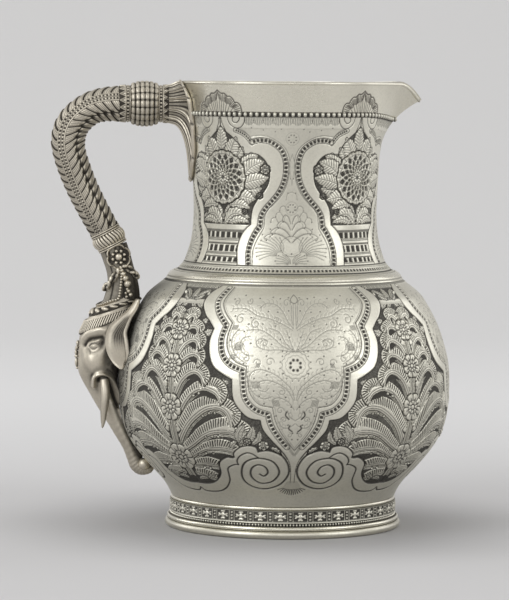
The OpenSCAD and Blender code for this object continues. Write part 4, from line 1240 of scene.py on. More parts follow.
def closed_tube(name, path, radius, sides=12, patina_and_shade=0.05):
    """Round wire along a closed path that runs about level."""
    path = np.asarray(path, float)
    along = unit(np.roll(path, -1, 0) - np.roll(path, 1, 0))
    out = unit(np.cross(along, (0, 0, 1.0)))
    up = np.cross(out, along)
    t = circle(sides)[None, :, None]
    verts = (path[:, None] + radius * (out[:, None] * np.cos(t) + up[:, None] * np.sin(t))).reshape(-1, 3)
    return make_mesh(name, verts, [torus_faces(len(path), sides)], np.full(len(verts), patina_and_shade), sharp=None)


def evenly(path, count):
    """Points at equal distances round a closed path, and the directions along it."""
    loop = np.vstack([path, path[:1]])
    run = lengths(loop)
    at = np.linspace(0, run[-1], count, endpoint=False)
    pick = np.stack([np.interp(at, run, loop[:, i]) for i in range(3)], -1)
    return pick, unit(np.roll(pick, -1, 0) - np.roll(pick, 1, 0))


def bead_ring(name, centres, along, size, shape, node, painted_glint=0.15):
    """Beads round the vessel's axis, with their third axis, and so their painted highlight, pointing away
    from it.
    """
    out = centres * (1, 1, 0)
    out = unit(out - along * (out * along).sum(-1, keepdims=True))
    frames = np.stack([along, np.cross(out, along), out], 1)
    obj = beads(name, centres, frames, [size] * len(centres), shape, painted_glint=painted_glint)
    place(obj, CHASED, "chased_silver", node)


COLLAR_RELIEF = collar_relief()
vessel_skins("rim_collar", COLLAR_RELIEF, neck_wall, collar_level, BAYS, POLISHED, "polished_silver",
             "rim_collar")
place(closed_tube("rim_edge", ring_path(-0.45, RIM_Z - 0.75, 360), 0.78), POLISHED, "polished_silver",
      "rim_collar")

# Bead wire under the collar: a round wire almost hidden behind a row of beads, painted near black as the
# shade and patina between them
wire = ring_path(-0.25, BEAD_Z, 360)
place(closed_tube("neck_bead_core", wire, 0.6, patina_and_shade=0.95), CHASED, "chased_silver", "neck_bead_wire")
spots, along = evenly(ring_path(0.55, BEAD_Z, 720), 108)
bead_ring("neck_beads", spots, along, (0.98, 1.22, 1.12), bead_shape(9, 16), "neck_bead_wire", painted_glint=-0.22)

# Moulding that covers the seam between neck and body
low, high = np.array((59.3, 124.0)), np.array((54.0, 128.5))
normal = unit(np.array((high[1] - low[1], low[0] - high[0])))
t = np.linspace(0, 1, 25)
lower_groove, upper_groove = bump(t, 0.2, 0.05), bump(t, 0.84, 0.045)
swell = 1.05 * np.sin(math.pi * t) ** 0.8 - 0.35 * lower_groove - 0.3 * upper_groove
front = low + (high - low) * t[:, None] + swell[:, None] * normal
outline = np.vstack([front, [(SEAM_R - 0.9, SEAM_Z - 0.1)]])
shade = 0.75 * lower_groove + 0.7 * upper_groove + 0.6 * bump(t, 0, 0.03) + 0.6 * bump(t, 1, 0.03)
place(lathe("shoulder_moulding", outline, 360, [*shade, 0.5], sharp=None), POLISHED, "polished_silver",
      "shoulder_band")

# Floor of the body, above the foot
floor_top = [(0.02, 19.2), (20, 19.0), (30, 18.6), (50, 16.9), (54.6, 17.1), (55.8, 17.0)]
floor_under = [(55.8, 15.75), (50, 15.7), (30, 17.4), (20, 17.8), (0.02, 18.0)]
place(lathe("body_floor", floor_under[::-1] + floor_top[::-1], 180), CHASED, "chased_silver", "body_shell")


def half_round(r, z, reach, tall, count=10, ease=1.0):
    """Points of a half-round moulding from its foot to its head."""
    a = np.linspace(-math.pi / 2, math.pi / 2, count)
    return [(r + reach * math.cos(x) ** ease, z + tall * math.sin(x)) for x in a]


def foot_ring(name, outline, shade, node, material=POLISHED, slot="polished_silver"):
    """One turned ring of the foot."""
    place(lathe(name, outline, 360, shade, sharp=50), material, slot, node)


foot_ring("foot_wall_band", [(52.85, 3.75), (54.25, 3.75), (54.25, 15.5), (52.85, 15.5)], None, "foot_wall")
top = half_round(55.3, 14.6, 1.0, 0.98)
foot_ring("foot_top_ring", top + [(54.4, 15.6), (54.4, 13.62)],
          [0.7] + [0.02] * (len(top) - 2) + [0.7, 0.5, 0.5], "foot_top_moulding")
edge = half_round(57.25, 4.85, 0.78, 0.98)
foot_ring("foot_step_ring", [(57.0, 3.72), (57.3, 3.8)] + edge + [(57.0, 5.88), (54.4, 5.88), (54.4, 3.72)],
          [0.8, 0.8] + [0.02] * (len(edge) - 1) + [0.75, 0.9, 0.5, 0.5], "foot_step_moulding")
base = half_round(57.6, 1.9, 1.36, 1.72, 14, 0.8)
foot_ring("foot_base_rim", [(52.9, 0.0), (57.4, 0.0)] + base + [(57.3, 3.68), (52.9, 3.68)],
          [0.4, 0.6] + [0.2] * (len(base) - 1) + [0.65, 0.8, 0.5], "foot_base_ring")


def foot_frieze():
    """Cast frieze: flower crosses between bars with three studs, on a dark ground."""
    crosses, per = 36, 30
    v = np.linspace(-2.72, 2.72, 23)
    pitch = 2 * math.pi * 56.3 / crosses
    u = (np.arange(per) / per - 0.5) * pitch
    uu, vv = np.meshgrid(u, v)
    across = (np.abs(vv) < 0.42 + 0.45 * step(np.abs(uu), 1.5, 2.0)) & (np.abs(uu) < 2.75)
    upright = (np.abs(uu) < 0.5 + 0.5 * step(np.abs(vv), 0.9, 1.3)) & (np.abs(vv) < 2.15)
    notch = (np.hypot(np.abs(uu) - 2.85, vv) < 0.36) | (np.hypot(uu, np.abs(vv) - 2.25) < 0.34)
    cross = (across | upright | (np.hypot(uu, vv) < 1.0)) & ~notch
    dome = np.where(cross, 0.42 + 0.16 * np.exp(-(uu ** 2 + vv ** 2) / 0.8), 0)
    dome = dome - np.where(cross & (np.abs(np.hypot(uu, vv) - 1.15) < 0.22), 0.2, 0)
    far = pitch / 2 - np.abs(uu)
    bar = (np.abs(far - 1.25) < 0.17) & (np.abs(vv) < 2.4)
    stud = (far < 0.42) & (np.abs((np.abs(vv) + 0.75) % 1.5 - 0.75) < 0.45) & (np.abs(vv) < 2.1)
    height = np.maximum(dome, np.where(bar, 0.42, np.where(stud, 0.4, 0)))
    dark = np.where(height > 0.2, 0.06, 0.93)
    edge_line = np.abs(vv) > 2.45
    height = np.where(edge_line, 0.3, height)
    dark = np.where(edge_line, 0.5, dark)
    height, dark = np.tile(height, (1, crosses)), np.tile(dark, (1, crosses))
    count = crosses * per
    azimuth = circle(count)
    front = on_vessel(azimuth[None] + 0 * v[:, None], 56.25 + height, 10.85 + v[:, None])
    back = on_vessel(azimuth[None] + np.zeros((2, 1)), 54.4, np.array([13.57, 8.13])[:, None])
    grid = np.concatenate([front, back])
    shade = np.concatenate([dark, np.full((2, count), 0.5)])
    return make_mesh("foot_cross_frieze", grid.reshape(-1, 3), [torus_faces(len(grid), count)],
                     shade.ravel(), sharp=50)


place(foot_frieze(), CHASED, "chased_silver", "foot_frieze")
foot_ring("foot_bead_bed", [(54.4, 5.92), (56.0, 5.92), (55.7, 6.6), (55.8, 7.45), (56.6, 7.5),
                            (56.75, 7.8), (56.6, 8.08), (54.4, 8.08)],
          [0.9, 0.95, 0.95, 0.95, 0.5, 0.02, 0.3, 0.5], "foot_bead_wire", CHASED, "chased_silver")
azimuth = circle(228)
bead_ring("foot_beads", on_vessel(azimuth, 56.1, 6.75), on_vessel(azimuth + math.pi / 2, 1.0, 0.0),
          (0.5, 0.68, 0.72), bead_shape(6, 8), "foot_bead_wire")

# ---------------------------------------------------------------- the handle
AXIS_Z = 210.6
FORWARD, UP = (1.0, 0, 0), (0, 0, 1.0)


def tube(name, rings, dark, end_dark, sharp, flipped=False, ends=None):
    """Closed piece from rings of points (rings, sides, 3), capped to two end points."""
    rows, sides = rings.shape[:2]
    faces = [grid_faces(rows, sides, True), cap_faces(rows, sides)]
    if flipped:
        faces = [f[:, ::-1] for f in faces]
    if ends is None:
        ends = [rings[0].mean(0), rings[-1].mean(0)]
    shade = np.concatenate([dark.ravel(), [end_dark, end_dark]])
    return make_mesh(name, np.vstack([rings.reshape(-1, 3), ends]), faces, shade, sharp)


def outward_normals(rings):
    """Unit normals of rings of points, pointing away from the rings' middles, and whether that
    turned them round."""
    n = normals(rings, True)
    inward = ((rings - rings.mean(1, keepdims=True)) * n).sum() < 0
    return (-n if inward else n), inward


def wrapped(name, base, height, dark):
    """Closed skin from rings of points (rings, sides, 3), raised by height along its normals."""
    n, flipped = outward_normals(base)
    return tube(name, base + n * height[..., None], dark, 0.4, 58, flipped)


def across_path(points):
    """Directions across a path in the handle's plane."""
    along = unit(np.gradient(points, axis=0))
    return np.stack([along[:, 1], -along[:, 0]], 1)


def oval_rings(path, out, half_deep, half_wide, sides):
    """Rings of ovals round a path in the XZ plane. Angle 0 points outward, a quarter turn to +Y."""
    t = circle(sides)
    deep = half_deep[:, None] * np.cos(t)
    x = path[:, :1] + out[:, :1] * deep
    z = path[:, 1:2] + out[:, 1:2] * deep
    y = half_wide[:, None] * np.sin(t)
    return np.stack([x, y, z], -1)


def resample(points, step_mm):
    """Points at equal distances along a curve whose first two columns are its place."""
    run = lengths(points[:, :2])
    at = np.linspace(0, run[-1], max(3, int(run[-1] / step_mm) + 1))
    return np.stack([np.interp(at, run, points[:, i]) for i in range(points.shape[1])], -1), at


# X, Z, half depth and half width along the middle of the grip
GRIP_PATH = [(-83.2, 210.5, 8.8, 8.6), (-90, 210.1, 8.4, 8.2), (-96.5, 208.4, 8.1, 8),
             (-102.6, 204.3, 8.2, 8), (-106.9, 198.8, 8.4, 8), (-108.5, 192, 8.4, 8),
             (-107.7, 185.5, 8.1, 7.9), (-104.9, 177, 8, 7.8), (-100.9, 167.5, 7.8, 7.7),
             (-96, 158, 7.6, 7.6), (-90.25, 147.6, 7.4, 7.4)]
GRIP_ARC = 0.142    # mm of the grip's surface for each degree round it
HOLE_PITCH = 1.6


def braided_grip():
    """Grip chased as plaited leaves on both sides of a tape with two rows of small square holes."""
    rail, s = resample(smooth(GRIP_PATH, 10), 0.27)
    out = across_path(rail[:, :2])
    out = -out if out[0, 1] < 0 else out
    sides = 196
    base = oval_rings(rail[:, :2], out, rail[:, 2] - 0.25, rail[:, 3] - 0.25, sides)
    theta = np.degrees(circle(sides))
    theta = np.minimum(theta, 360 - theta)[None]
    s = s[:, None]
    height = np.zeros((len(rail), sides))
    dark = np.full((len(rail), sides), 0.2)

    def plait(low, high, lean, pitch, lines, outer):
        """Overlapping leaves whose tips point to the knob. outer is +1 if their tips lie at high."""
        nonlocal height, dark
        zone = (theta >= low) & (theta < high)
        side = (theta - low) / (high - low) if outer > 0 else (high - theta) / (high - low)
        side = np.clip(side, 0, 1)
        width = (high - low) * GRIP_ARC
        phase = (s + lean * width * side ** 1.35) / pitch
        f = phase % 1
        edge = fade(np.minimum(f, 1 - f) * pitch, 0.26, 0.60)
        fine = np.zeros_like(f)
        for i in range(1, lines):
            fine = np.maximum(fine, fade(np.abs(f - i / lines) * pitch, 0.08, 0.28))
        fine = fine * fade(side, 0.72, 0.9)
        slope = 0.12 + 0.62 * (1 - f) ** 0.9
        rounding = np.sqrt(np.clip(1 - (np.abs(side - 0.45) / 0.58) ** 2.4, 0, 1))
        h = slope * (0.35 + 0.65 * rounding) - 0.10 * fine - 0.3 * edge
        gap = step(side, 0.64, 0.92) * step(f, 0.42, 0.66)
        h = h - 0.45 * gap
        shade = np.maximum(0.10 + 0.87 * edge, 0.7 * fine)
        shade = np.maximum(shade, 0.97 * gap)
        height = np.where(zone, h, height)
        dark = np.where(zone, shade, dark)

    plait(0, 48, 0.62, 3.9, 4, -1)
    plait(79, 121, 0.75, 4.1, 4, 1)
    plait(121, 181, -0.55, 4.1, 4, -1)
    seam = fade(np.abs(theta - 121) * GRIP_ARC, 0.2, 0.5)
    top = fade(theta * GRIP_ARC, 0.12, 0.5)
    for line, shade in ((seam, 0.95), (top, 0.9)):
        height = height - 0.35 * line
        dark = np.maximum(dark, shade * line)
    tape = (theta >= 48) & (theta < 79)
    height = np.where(tape, 0.38, height)
    dark = np.where(tape, 0.12, dark)
    for at in (48.4, 53.2, 61.6, 65.4, 73.8, 78.6):
        line = fade(np.abs(theta - at) * GRIP_ARC, 0.06, 0.28) * tape
        height = height - 0.22 * line
        dark = np.maximum(dark, 0.8 * line)
    cell = np.abs((s / HOLE_PITCH) % 1 - 0.5) * HOLE_PITCH
    for at in (57.4, 69.6):
        hole = fade(cell, 0.30, 0.52) * fade(np.abs(theta - at) * GRIP_ARC, 0.30, 0.56) * tape
        height = height - 0.5 * hole
        dark = np.maximum(dark, 0.98 * hole)
    obj = wrapped("braided_grip", base, height, dark)
    return on_handle(obj, "handle_grip")


def turned(name, xs, radii, pattern, node, sides=200):
    """Sleeve turned about the knob's axis. pattern(x, angle) gives height and patina."""
    xs, radii = np.asarray(xs, float), np.asarray(radii, float)
    t = circle(sides)
    base = np.stack([xs[:, None] + 0 * t, radii[:, None] * np.sin(t), AXIS_Z + radii[:, None] * np.cos(t)],
                    -1)
    height, dark = pattern(xs[:, None] + 0 * t, t[None] + 0 * xs[:, None])
    points = base + height[..., None] * np.stack([0 * t, np.sin(t), np.cos(t)], -1)
    ends = [(xs[0], 0, AXIS_Z), (xs[-1], 0, AXIS_Z)]
    return on_handle(tube(name, points, dark, 0.5, 55, xs[-1] > xs[0], ends), node)


def teeth(count, root, tip, wide):
    """Row of raised triangles round the axis from x=root to x=tip, each with a sunk middle."""
    def pattern(x, t):
        cell = np.abs((t * count / (2 * math.pi)) % 1 - 0.5) * 2
        reach = np.clip((x - tip) / (root - tip), -1, 1.2)
        edge = reach * wide - cell
        tooth = step(edge, 0.0, 0.12) * (reach > 0)
        sunk = step(edge, 0.22, 0.34) * fade(edge, 0.62, 0.72) * tooth
        band = step(reach, 0.96, 1.0)
        height = np.maximum(0.75 * tooth - 0.22 * sunk, 0.75 * band)
        dark = np.where(tooth > 0.5, 0.1 + 0.5 * sunk, 0.95)
        return height, np.where(band > 0.5, 0.35, dark)
    return pattern


def studded(count, low, high):
    """Two rails with a row of studs between them."""
    def pattern(x, t):
        share = (x - low) / (high - low)
        rail = np.maximum(fade(share, 0.1, 0.22), step(share, 0.78, 0.9))
        cell = np.abs((t * count / (2 * math.pi)) % 1 - 0.5) * 2
        stud = fade(cell, 0.35, 0.6) * fade(np.abs(share - 0.5), 0.16, 0.27)
        height = 0.35 * rail + 0.45 * stud
        return height, np.where(height > 0.2, 0.1, 0.95)
    return pattern


def melon_knob():
    """Barrel knob of tall oval beads in rows, on a core painted near black as the shade and patina between
    them.
    """
    count, rows = 18, 6
    spots, frames, sizes = [], [], []
    for i in range(rows):
        share = (i + 0.5) / rows
        x = -63.75 - 13.7 * share
        slope = (share - 0.5) * 2
        radius = 8.6 + 2.6 * math.sqrt(max(0, 1 - slope * slope * 0.92))
        lean = math.atan2(2.2 * slope, 2.3)
        for k in range(count):
            t = 2 * math.pi * (k + 0.5) / count
            round_axis = (0, math.cos(t), -math.sin(t))
            out = np.array([-math.sin(lean), math.sin(t) * math.cos(lean), math.cos(t) * math.cos(lean)])
            spots.append((x, (radius - 0.6) * math.sin(t), AXIS_Z + (radius - 0.6) * math.cos(t)))
            frames.append((np.cross(out, round_axis), round_axis, out))
            sizes.append((1.16, math.pi * radius / count, 0.95))
    dome, quads, tris = bead_shape(9, 16)
    stretch = np.abs(dome[:, :2]).max(1) / np.maximum(np.linalg.norm(dome[:, :2], axis=1), 1e-6)
    dome = dome * np.stack([1 / np.maximum(stretch, 0.86)] * 2 + [np.ones(len(dome))], -1)
    obj = beads("melon_beads", spots, frames, sizes, (dome, quads, tris), painted_glint=-0.24)
    on_handle(obj, "melon_knob")
    xs = np.linspace(-63.4, -78.2, 20)
    slope = (xs + 70.7) / 7.4
    radii = 8.1 + 2.2 * np.sqrt(np.clip(1 - slope ** 2 * 0.95, 0, 1))
    turned("melon_core", xs, radii, lambda x, t: (0 * x, 0 * x + 0.93), "melon_knob", 64)


def socket():
    """Fluted trumpet between the knob and the neck, ending in a knuckled strap and a plate."""
    rows = np.array([(10.2, 8.7, 8.6, 8.9), (8, 9.4, 9, 9.8), (5.6, 10, 9.6, 11.4), (4, 10.7, 10.8, 14),
                     (2.9, 11.2, 12.2, 18), (2.3, 11.4, 13.6, 23), (2, 11.4, 14.6, 29), (1.8, 11.4, 15, 35),
                     (1.6, 11.4, 15.6, 36.6), (0.8, 11.4, 16.6, 38), (0.3, 11.4, 17.2, 38.4),
                     (0.06, 10.8, 16.6, 37.6)])
    stations = smooth(rows, 7)
    count = len(stations)
    sides = 288
    t = circle(sides)[None]
    reach = np.where(np.cos(t) > 0, stations[:, 1:2], stations[:, 3:4])
    z = np.minimum(AXIS_Z + reach * np.cos(t), 221.7)
    y = -stations[:, 2:3] * np.sin(t)
    azimuth = np.arctan2(-60.0, -y)
    around = neck_wall(azimuth, z)
    x = -(np.sqrt(np.maximum(around ** 2 - y ** 2, 1.0)) + stations[:, :1])
    share = np.linspace(0, 1, count)[:, None]
    row = share * (len(rows) - 1)
    near_knob = fade(row, 0.2, 1.6)
    x = x * (1 - near_knob) + near_knob * (-61.4 + 1.2 * row)
    base = np.stack([x, y, z], -1)
    flutes = 12
    c = np.abs((flutes * t / (2 * math.pi) + 0.5) % 1 - 0.5) * 2
    shape = step(share, 0.03, 0.12) * fade(share, 0.70, 0.76)
    strap = step(share, 0.70, 0.75) * fade(share, 0.84, 0.88)
    channel = -0.95 * (1 - c ** 2)
    ridge = 0.3 * bump(c, 1, 0.10) + 0.35 * bump(c, 0.60, 0.08)
    height = (channel + ridge) * shape + strap * (0.9 * np.sqrt(np.clip(1 - c ** 4, 0, 1)) + 0.1)
    groove = bump(c, 0.79, 0.08) + bump(c, 0.36, 0.12)
    dark = 0.08 + (0.4 * fade(c, 0.3, 0.55) + 0.85 * groove) * shape
    gap = bump(c, 1, 0.10) * strap
    strap_edges = np.minimum(bump(share, 0.705, 0.014) + bump(share, 0.885, 0.012), 1)
    dark = np.maximum(dark * (1 - strap) + 0.12 * strap, np.maximum(0.9 * gap, 0.92 * strap_edges))
    height = height - 0.35 * strap_edges
    obj = wrapped("fluted_socket", base, height, np.broadcast_to(dark, height.shape).copy())
    return on_handle(obj, "handle_socket")


COLLAR_TOP, COLLAR_FOOT = np.array((-90.25, 147.6)), np.array((-85.8, 139.05))


def reeded_parts():
    """Rings and slanted reeds of the collar at the foot of the grip."""
    axis = COLLAR_FOOT - COLLAR_TOP
    length = np.linalg.norm(axis)
    axis = axis / length
    reeds_low, reeds_high = 2.0, length - 2.0
    across = np.array((axis[1], -axis[0]))

    def sleeve(name, low, high, radius_at, pattern, node, rows, sides=224):
        d = np.linspace(low, high, rows)
        path = COLLAR_TOP + d[:, None] * axis
        radius = np.array([radius_at(x) for x in d])
        base = oval_rings(path, np.broadcast_to(across, path.shape), radius, radius, sides)
        t = circle(sides)
        height, dark = pattern(d[:, None] + 0 * t, t[None] + 0 * d[:, None])
        on_handle(wrapped(name, base, height, dark), node)

    def rings(low):
        def pattern(d, t):
            share = (d - low) / 2.0
            wave = np.abs(np.sin(2 * math.pi * share))
            return 0.65 * wave ** 0.6 - 0.25, np.where(wave < 0.45, 0.92, 0.06)
        return pattern

    def reeds(d, t):
        phase = 28 * t / (2 * math.pi) + 0.16 * d
        wave = np.abs(np.sin(math.pi * phase))
        return 0.75 * wave ** 0.55 - 0.45, 0.95 - 0.93 * step(wave, 0.25, 0.6)

    def barrel(d):
        return 7.25 + 1.05 * math.sin(math.pi * (d - reeds_low) / (reeds_high - reeds_low)) ** 0.8

    sleeve("collar_upper_rings", 0.0, reeds_low, lambda d: 7.55, rings(0.0), "collar_top_ring", 22)
    sleeve("collar_reeds", reeds_low, reeds_high, barrel, reeds, "reeded_collar", 30, 336)
    sleeve("collar_lower_rings", reeds_high, length, lambda d: 7.35, rings(reeds_high),
           "collar_bottom_ring", 22)


def stem():
    """Tapered neck of the elephant, lightly fluted, flaring into the top of the head."""
    stations = np.array([(-92.4, 136.9, -79.2, 141.5, 6.8), (-90.4, 131.4, -77.3, 135.5, 6.7),
                         (-88.8, 126.3, -75.6, 129.3, 6.7), (-88.4, 121.4, -74.0, 124.2, 7.0),
                         (-89.3, 116.6, -73.0, 119.8, 7.6), (-90.6, 112.2, -72.5, 115.8, 8.1),
                         (-91.4, 110.2, -72.5, 114.0, 8.3)])
    path = smooth(stations, 12)
    sides = 128
    base = head_rings(path, sides, -0.15)
    t = circle(sides)[None]
    facets = np.abs(np.sin(4 * t + 0.4)) ** 0.5
    height = 0.35 * facets + 0 * base[..., 0]
    # Dark patina in the flutes and over the stem; the back, the side toward the body, gets painted shade on
    # top.
    dark = 0.45 * fade(facets, 0.25, 0.7) + 0.62 + 0.2 * step(-np.cos(t), -0.6, 0.6) + 0 * base[..., 0]
    on_handle(wrapped("plain_stem", clear_body(base), height, dark), "handle_stem")


# Front X and Z, rear X and Z, and half width at stations down the elephant's head and trunk
HEAD_PATH = [(-90.3, 112.6, -72.6, 116.2, 8.2), (-94.5, 108.5, -72.6, 114.4, 9.5),
             (-99.3, 102.2, -73.2, 111.4, 11),
             (-102.4, 95.2, -74.8, 107.4, 12), (-103.3, 88.5, -77.6, 100, 12.6),
             (-103.6, 82.5, -80.0, 90.5, 12.6),
             (-103.2, 77, -81.0, 81.5, 12), (-101.4, 72.6, -81.8, 75.5, 10.4),
             (-97.8, 66.2, -81.2, 71, 8.4),
             (-93.4, 58.6, -79.2, 65.2, 7.2), (-88.8, 51.4, -76.8, 57.6, 6.2),
             (-84.9, 45, -74.8, 49.4, 5.4),
             (-81, 38.6, -72.4, 42, 4.8), (-78.6, 32.6, -70.2, 36.4, 4.4), (-76.8, 28, -70.2, 33, 4.1),
             (-73.6, 25.1, -69.2, 31, 3.8), (-70.1, 24.4, -68.4, 30.2, 3.5), (-66.3, 25.4, -67.4, 30, 3.0),
             (-64.2, 28, -66.4, 30, 2.0)]
HEAD_STEPS = 18
HEAD = smooth(HEAD_PATH, HEAD_STEPS)


def head_station(at):
    """Rows of the head's path (front and back in X and Z, and half its width) at given stations."""
    return np.stack([np.interp(at, np.arange(len(HEAD)) / HEAD_STEPS, HEAD[:, i]) for i in range(5)], -1)


def clear_body(points, gap=0.05):
    """Moves points that would lie inside the body out to its surface."""
    r = np.hypot(points[..., 0], points[..., 1])
    least = body_radius(points[..., 2]) + gap
    inside = (points[..., 2] < SEAM_Z) & (r < least)
    grow = np.where(inside, least / np.maximum(r, 1e-6), 1.0)
    out = points.copy()
    out[..., 0] *= grow
    out[..., 1] *= grow
    return out


def head_rings(stations, sides, grow=0.0):
    """Rings of the elephant's head: angle 0 at its front, a quarter turn to +Y."""
    front, back, half = stations[:, :2], stations[:, 2:4], stations[:, 4]
    centre = (front + back) / 2
    depth = np.linalg.norm(front - back, axis=1) / 2
    along = (front - back) / np.maximum(2 * depth, 1e-6)[:, None]
    return oval_rings(centre, along, depth + grow, half + grow, sides)


def dab(points, x, z, spread_x, spread_z, turn=0.0):
    """Soft spot in side view, as a share from 0 to 1."""
    c, s = math.cos(math.radians(turn)), math.sin(math.radians(turn))
    u = (points[..., 0] - x) * c + (points[..., 2] - z) * s
    w = -(points[..., 0] - x) * s + (points[..., 2] - z) * c
    return np.exp(-(u / spread_x) ** 2 - (w / spread_z) ** 2)


def side_line(points, curve, width):
    """Share from 0 to 1 of closeness to a curve drawn in side view, in X and Z."""
    curve = smooth(curve, 8)
    best = np.full(points.shape[:2], 99.0)
    for (x0, z0), (x1, z1) in zip(curve[:-1], curve[1:]):
        dx, dz = x1 - x0, z1 - z0
        t = np.clip(((points[..., 0] - x0) * dx + (points[..., 2] - z0) * dz) / (dx * dx + dz * dz), 0, 1)
        best = np.minimum(best, np.hypot(points[..., 0] - x0 - t * dx, points[..., 2] - z0 - t * dz))
    return np.exp(-(best / width) ** 2)


def elephant_head():
    """Head and trunk, modelled with brow, eye, cheek, sleeves of skin at the tusks, and wrinkles."""
    sides = 240
    p = head_rings(HEAD, sides, -0.35)
    t = circle(sides)[None]
    side = step(np.abs(np.sin(t)), 0.25, 0.7) + 0 * p[..., 0]
    height = np.zeros(p.shape[:2])
    # Brow, eye socket, temple and cheek
    for depth, shape in (
            (1.25, side_line(p, [(-101.6, 93.4), (-99.1, 95.5), (-95.9, 97.3), (-92.8, 98.4), (-90, 98.2)],
                             1.7)),
            (-0.9, side_line(p, [(-100, 90.6), (-99.2, 92.4), (-97, 93.9), (-94.3, 94.6), (-91.3, 95)],
                             0.9)),
            (-0.8, dab(p, -94.6, 91.2, 4.2, 3.0, 15)),
            (-1.0, dab(p, -91, 92.0, 1.6, 3.4, -20)),
            (0.95, dab(p, -95.4, 90.4, 1.45, 1.0, 12)),
            (0.55, side_line(p, [(-98.5, 90.3), (-97.1, 92), (-94.9, 92.5), (-92.7, 93.3)], 0.5)),
            (0.4, side_line(p, [(-98.2, 89.6), (-96.9, 88.3), (-95, 87.9), (-93, 89.2)], 0.6)),
            (1.0, dab(p, -97.2, 82.5, 5.0, 4.6)),
            (-1.3, dab(p, -86.8, 84.5, 3.4, 6.5, -8)),
            (-0.5, side_line(p, [(-102, 86), (-99.5, 80), (-97, 76)], 2.2))):
        height += depth * side * shape
    # Sleeve of skin round the tusk's root
    sleeve = side_line(p, [(-95.0, 70.4), (-95.1, 73.6), (-94.6, 75.3), (-93.2, 76.3), (-91.2, 76.6),
                           (-89, 75.9), (-86.8, 74), (-85, 70.8), (-83, 66.6), (-81.4, 62.4)], 1.05)
    hollow = side_line(p, [(-92.6, 73.2), (-91, 73.7), (-89, 72.9), (-87.4, 70.6), (-86, 67.2),
                           (-84.8, 63.6), (-83, 59.6)], 1.15)
    mouth = side_line(p, [(-84.4, 79), (-83.0, 73), (-81.0, 67), (-79.2, 61)], 1.2)
    height += side * (1.8 * sleeve - 1.6 * hollow - 1.5 * mouth)
    # Faint wrinkles across the trunk, and its fold underneath
    run = np.linspace(0, 1, len(HEAD))[:, None]
    trunk = step(run, 0.50, 0.60) * fade(run, 0.93, 0.98)
    height += 0.05 * trunk * np.sin(run * 240 + 0.5 * np.sin(3 * t))
    under = [(-85.2, 61), (-82.4, 54), (-79, 47.4), (-76, 41), (-73.4, 35.4)]
    height -= 0.6 * trunk * side_line(p, under, 1.3)
    cavity = height - sum(np.roll(height, k, 0) + np.roll(height, -k, 0) + np.roll(height, k, 1)
                          + np.roll(height, -k, 1) for k in (4, 9)) / 8
    dark = np.clip(0.2 - 1.1 * cavity, 0.04, 0.9)
    # Dark lines along the features; the wide band down the trunk's rear side is painted shade.
    for curve, width, shade in (
            ([(-100, 90.4), (-99.3, 92.2), (-97.1, 93.6), (-94.3, 94.3), (-91.3, 94.8)], 0.45, 0.85),
            ([(-97.7, 90.1), (-96.6, 91.4), (-94.9, 91.7), (-93.4, 91.2), (-92.6, 92)], 0.28, 0.95),
            ([(-97.3, 89.9), (-96.6, 89.2), (-95.4, 88.9), (-93.9, 89.7)], 0.26, 0.9),
            ([(-97.7, 89), (-97.2, 88), (-96.9, 86.6)], 0.55, 0.6),
            ([(-91.2, 94.4), (-90.6, 92), (-91, 89.6)], 0.9, 0.6),
            ([(-84.2, 80), (-83, 73), (-81.2, 67), (-79, 58), (-75.8, 49), (-73.2, 40), (-71.4, 34.6)], 3.0,
             0.97),
            (under, 1.0, 0.75),
            ([(-88.4, 78.4), (-85.4, 76.2), (-83.2, 72)], 1.3, 0.8),
            ([(-87.6, 81), (-85.4, 84), (-84.4, 90)], 1.6, 0.7)):
        dark = np.maximum(dark, shade * side * side_line(p, curve, width))
    dark = np.maximum(dark, 0.98 * side * np.minimum(1.3 * hollow, 1))
    dark = dark * (1 - 0.9 * step(side * sleeve, 0.45, 0.8))
    # Painted shade over the back of the head and trunk, the side toward the body.
    back = step(-np.cos(t), 0.35, 0.85) + 0 * run
    dark = np.maximum(dark, 0.9 * back * fade(run, 0.86, 0.92))
    obj = wrapped("elephant_mask", clear_body(p), height * fade(back, 0.5, 1), dark)
    return on_handle(obj, "elephant_head")


# Height, then X and Y of the front edge and of the rear edge
EAR_ROWS = [(113.6, -74.8, -10.4, -72.4, -11), (110, -77.3, -11, -73.2, -13.6),
            (106.8, -80.2, -11.6, -75, -15.6),
            (104.4, -83.2, -12, -76.5, -17.2), (101.2, -86.9, -12.5, -77.8, -19),
            (97.6, -88.8, -12.8, -78.9, -20.6),
            (94.2, -89.3, -13, -78.4, -22), (90.4, -89.2, -13.2, -77.9, -22.8),
            (86.4, -88.1, -13.4, -77.6, -22.8),
            (83, -86.1, -14, -78.2, -21.6), (80.9, -84.3, -15, -79.8, -19.6),
            (79.4, -82.5, -16.6, -81.2, -17.8)]


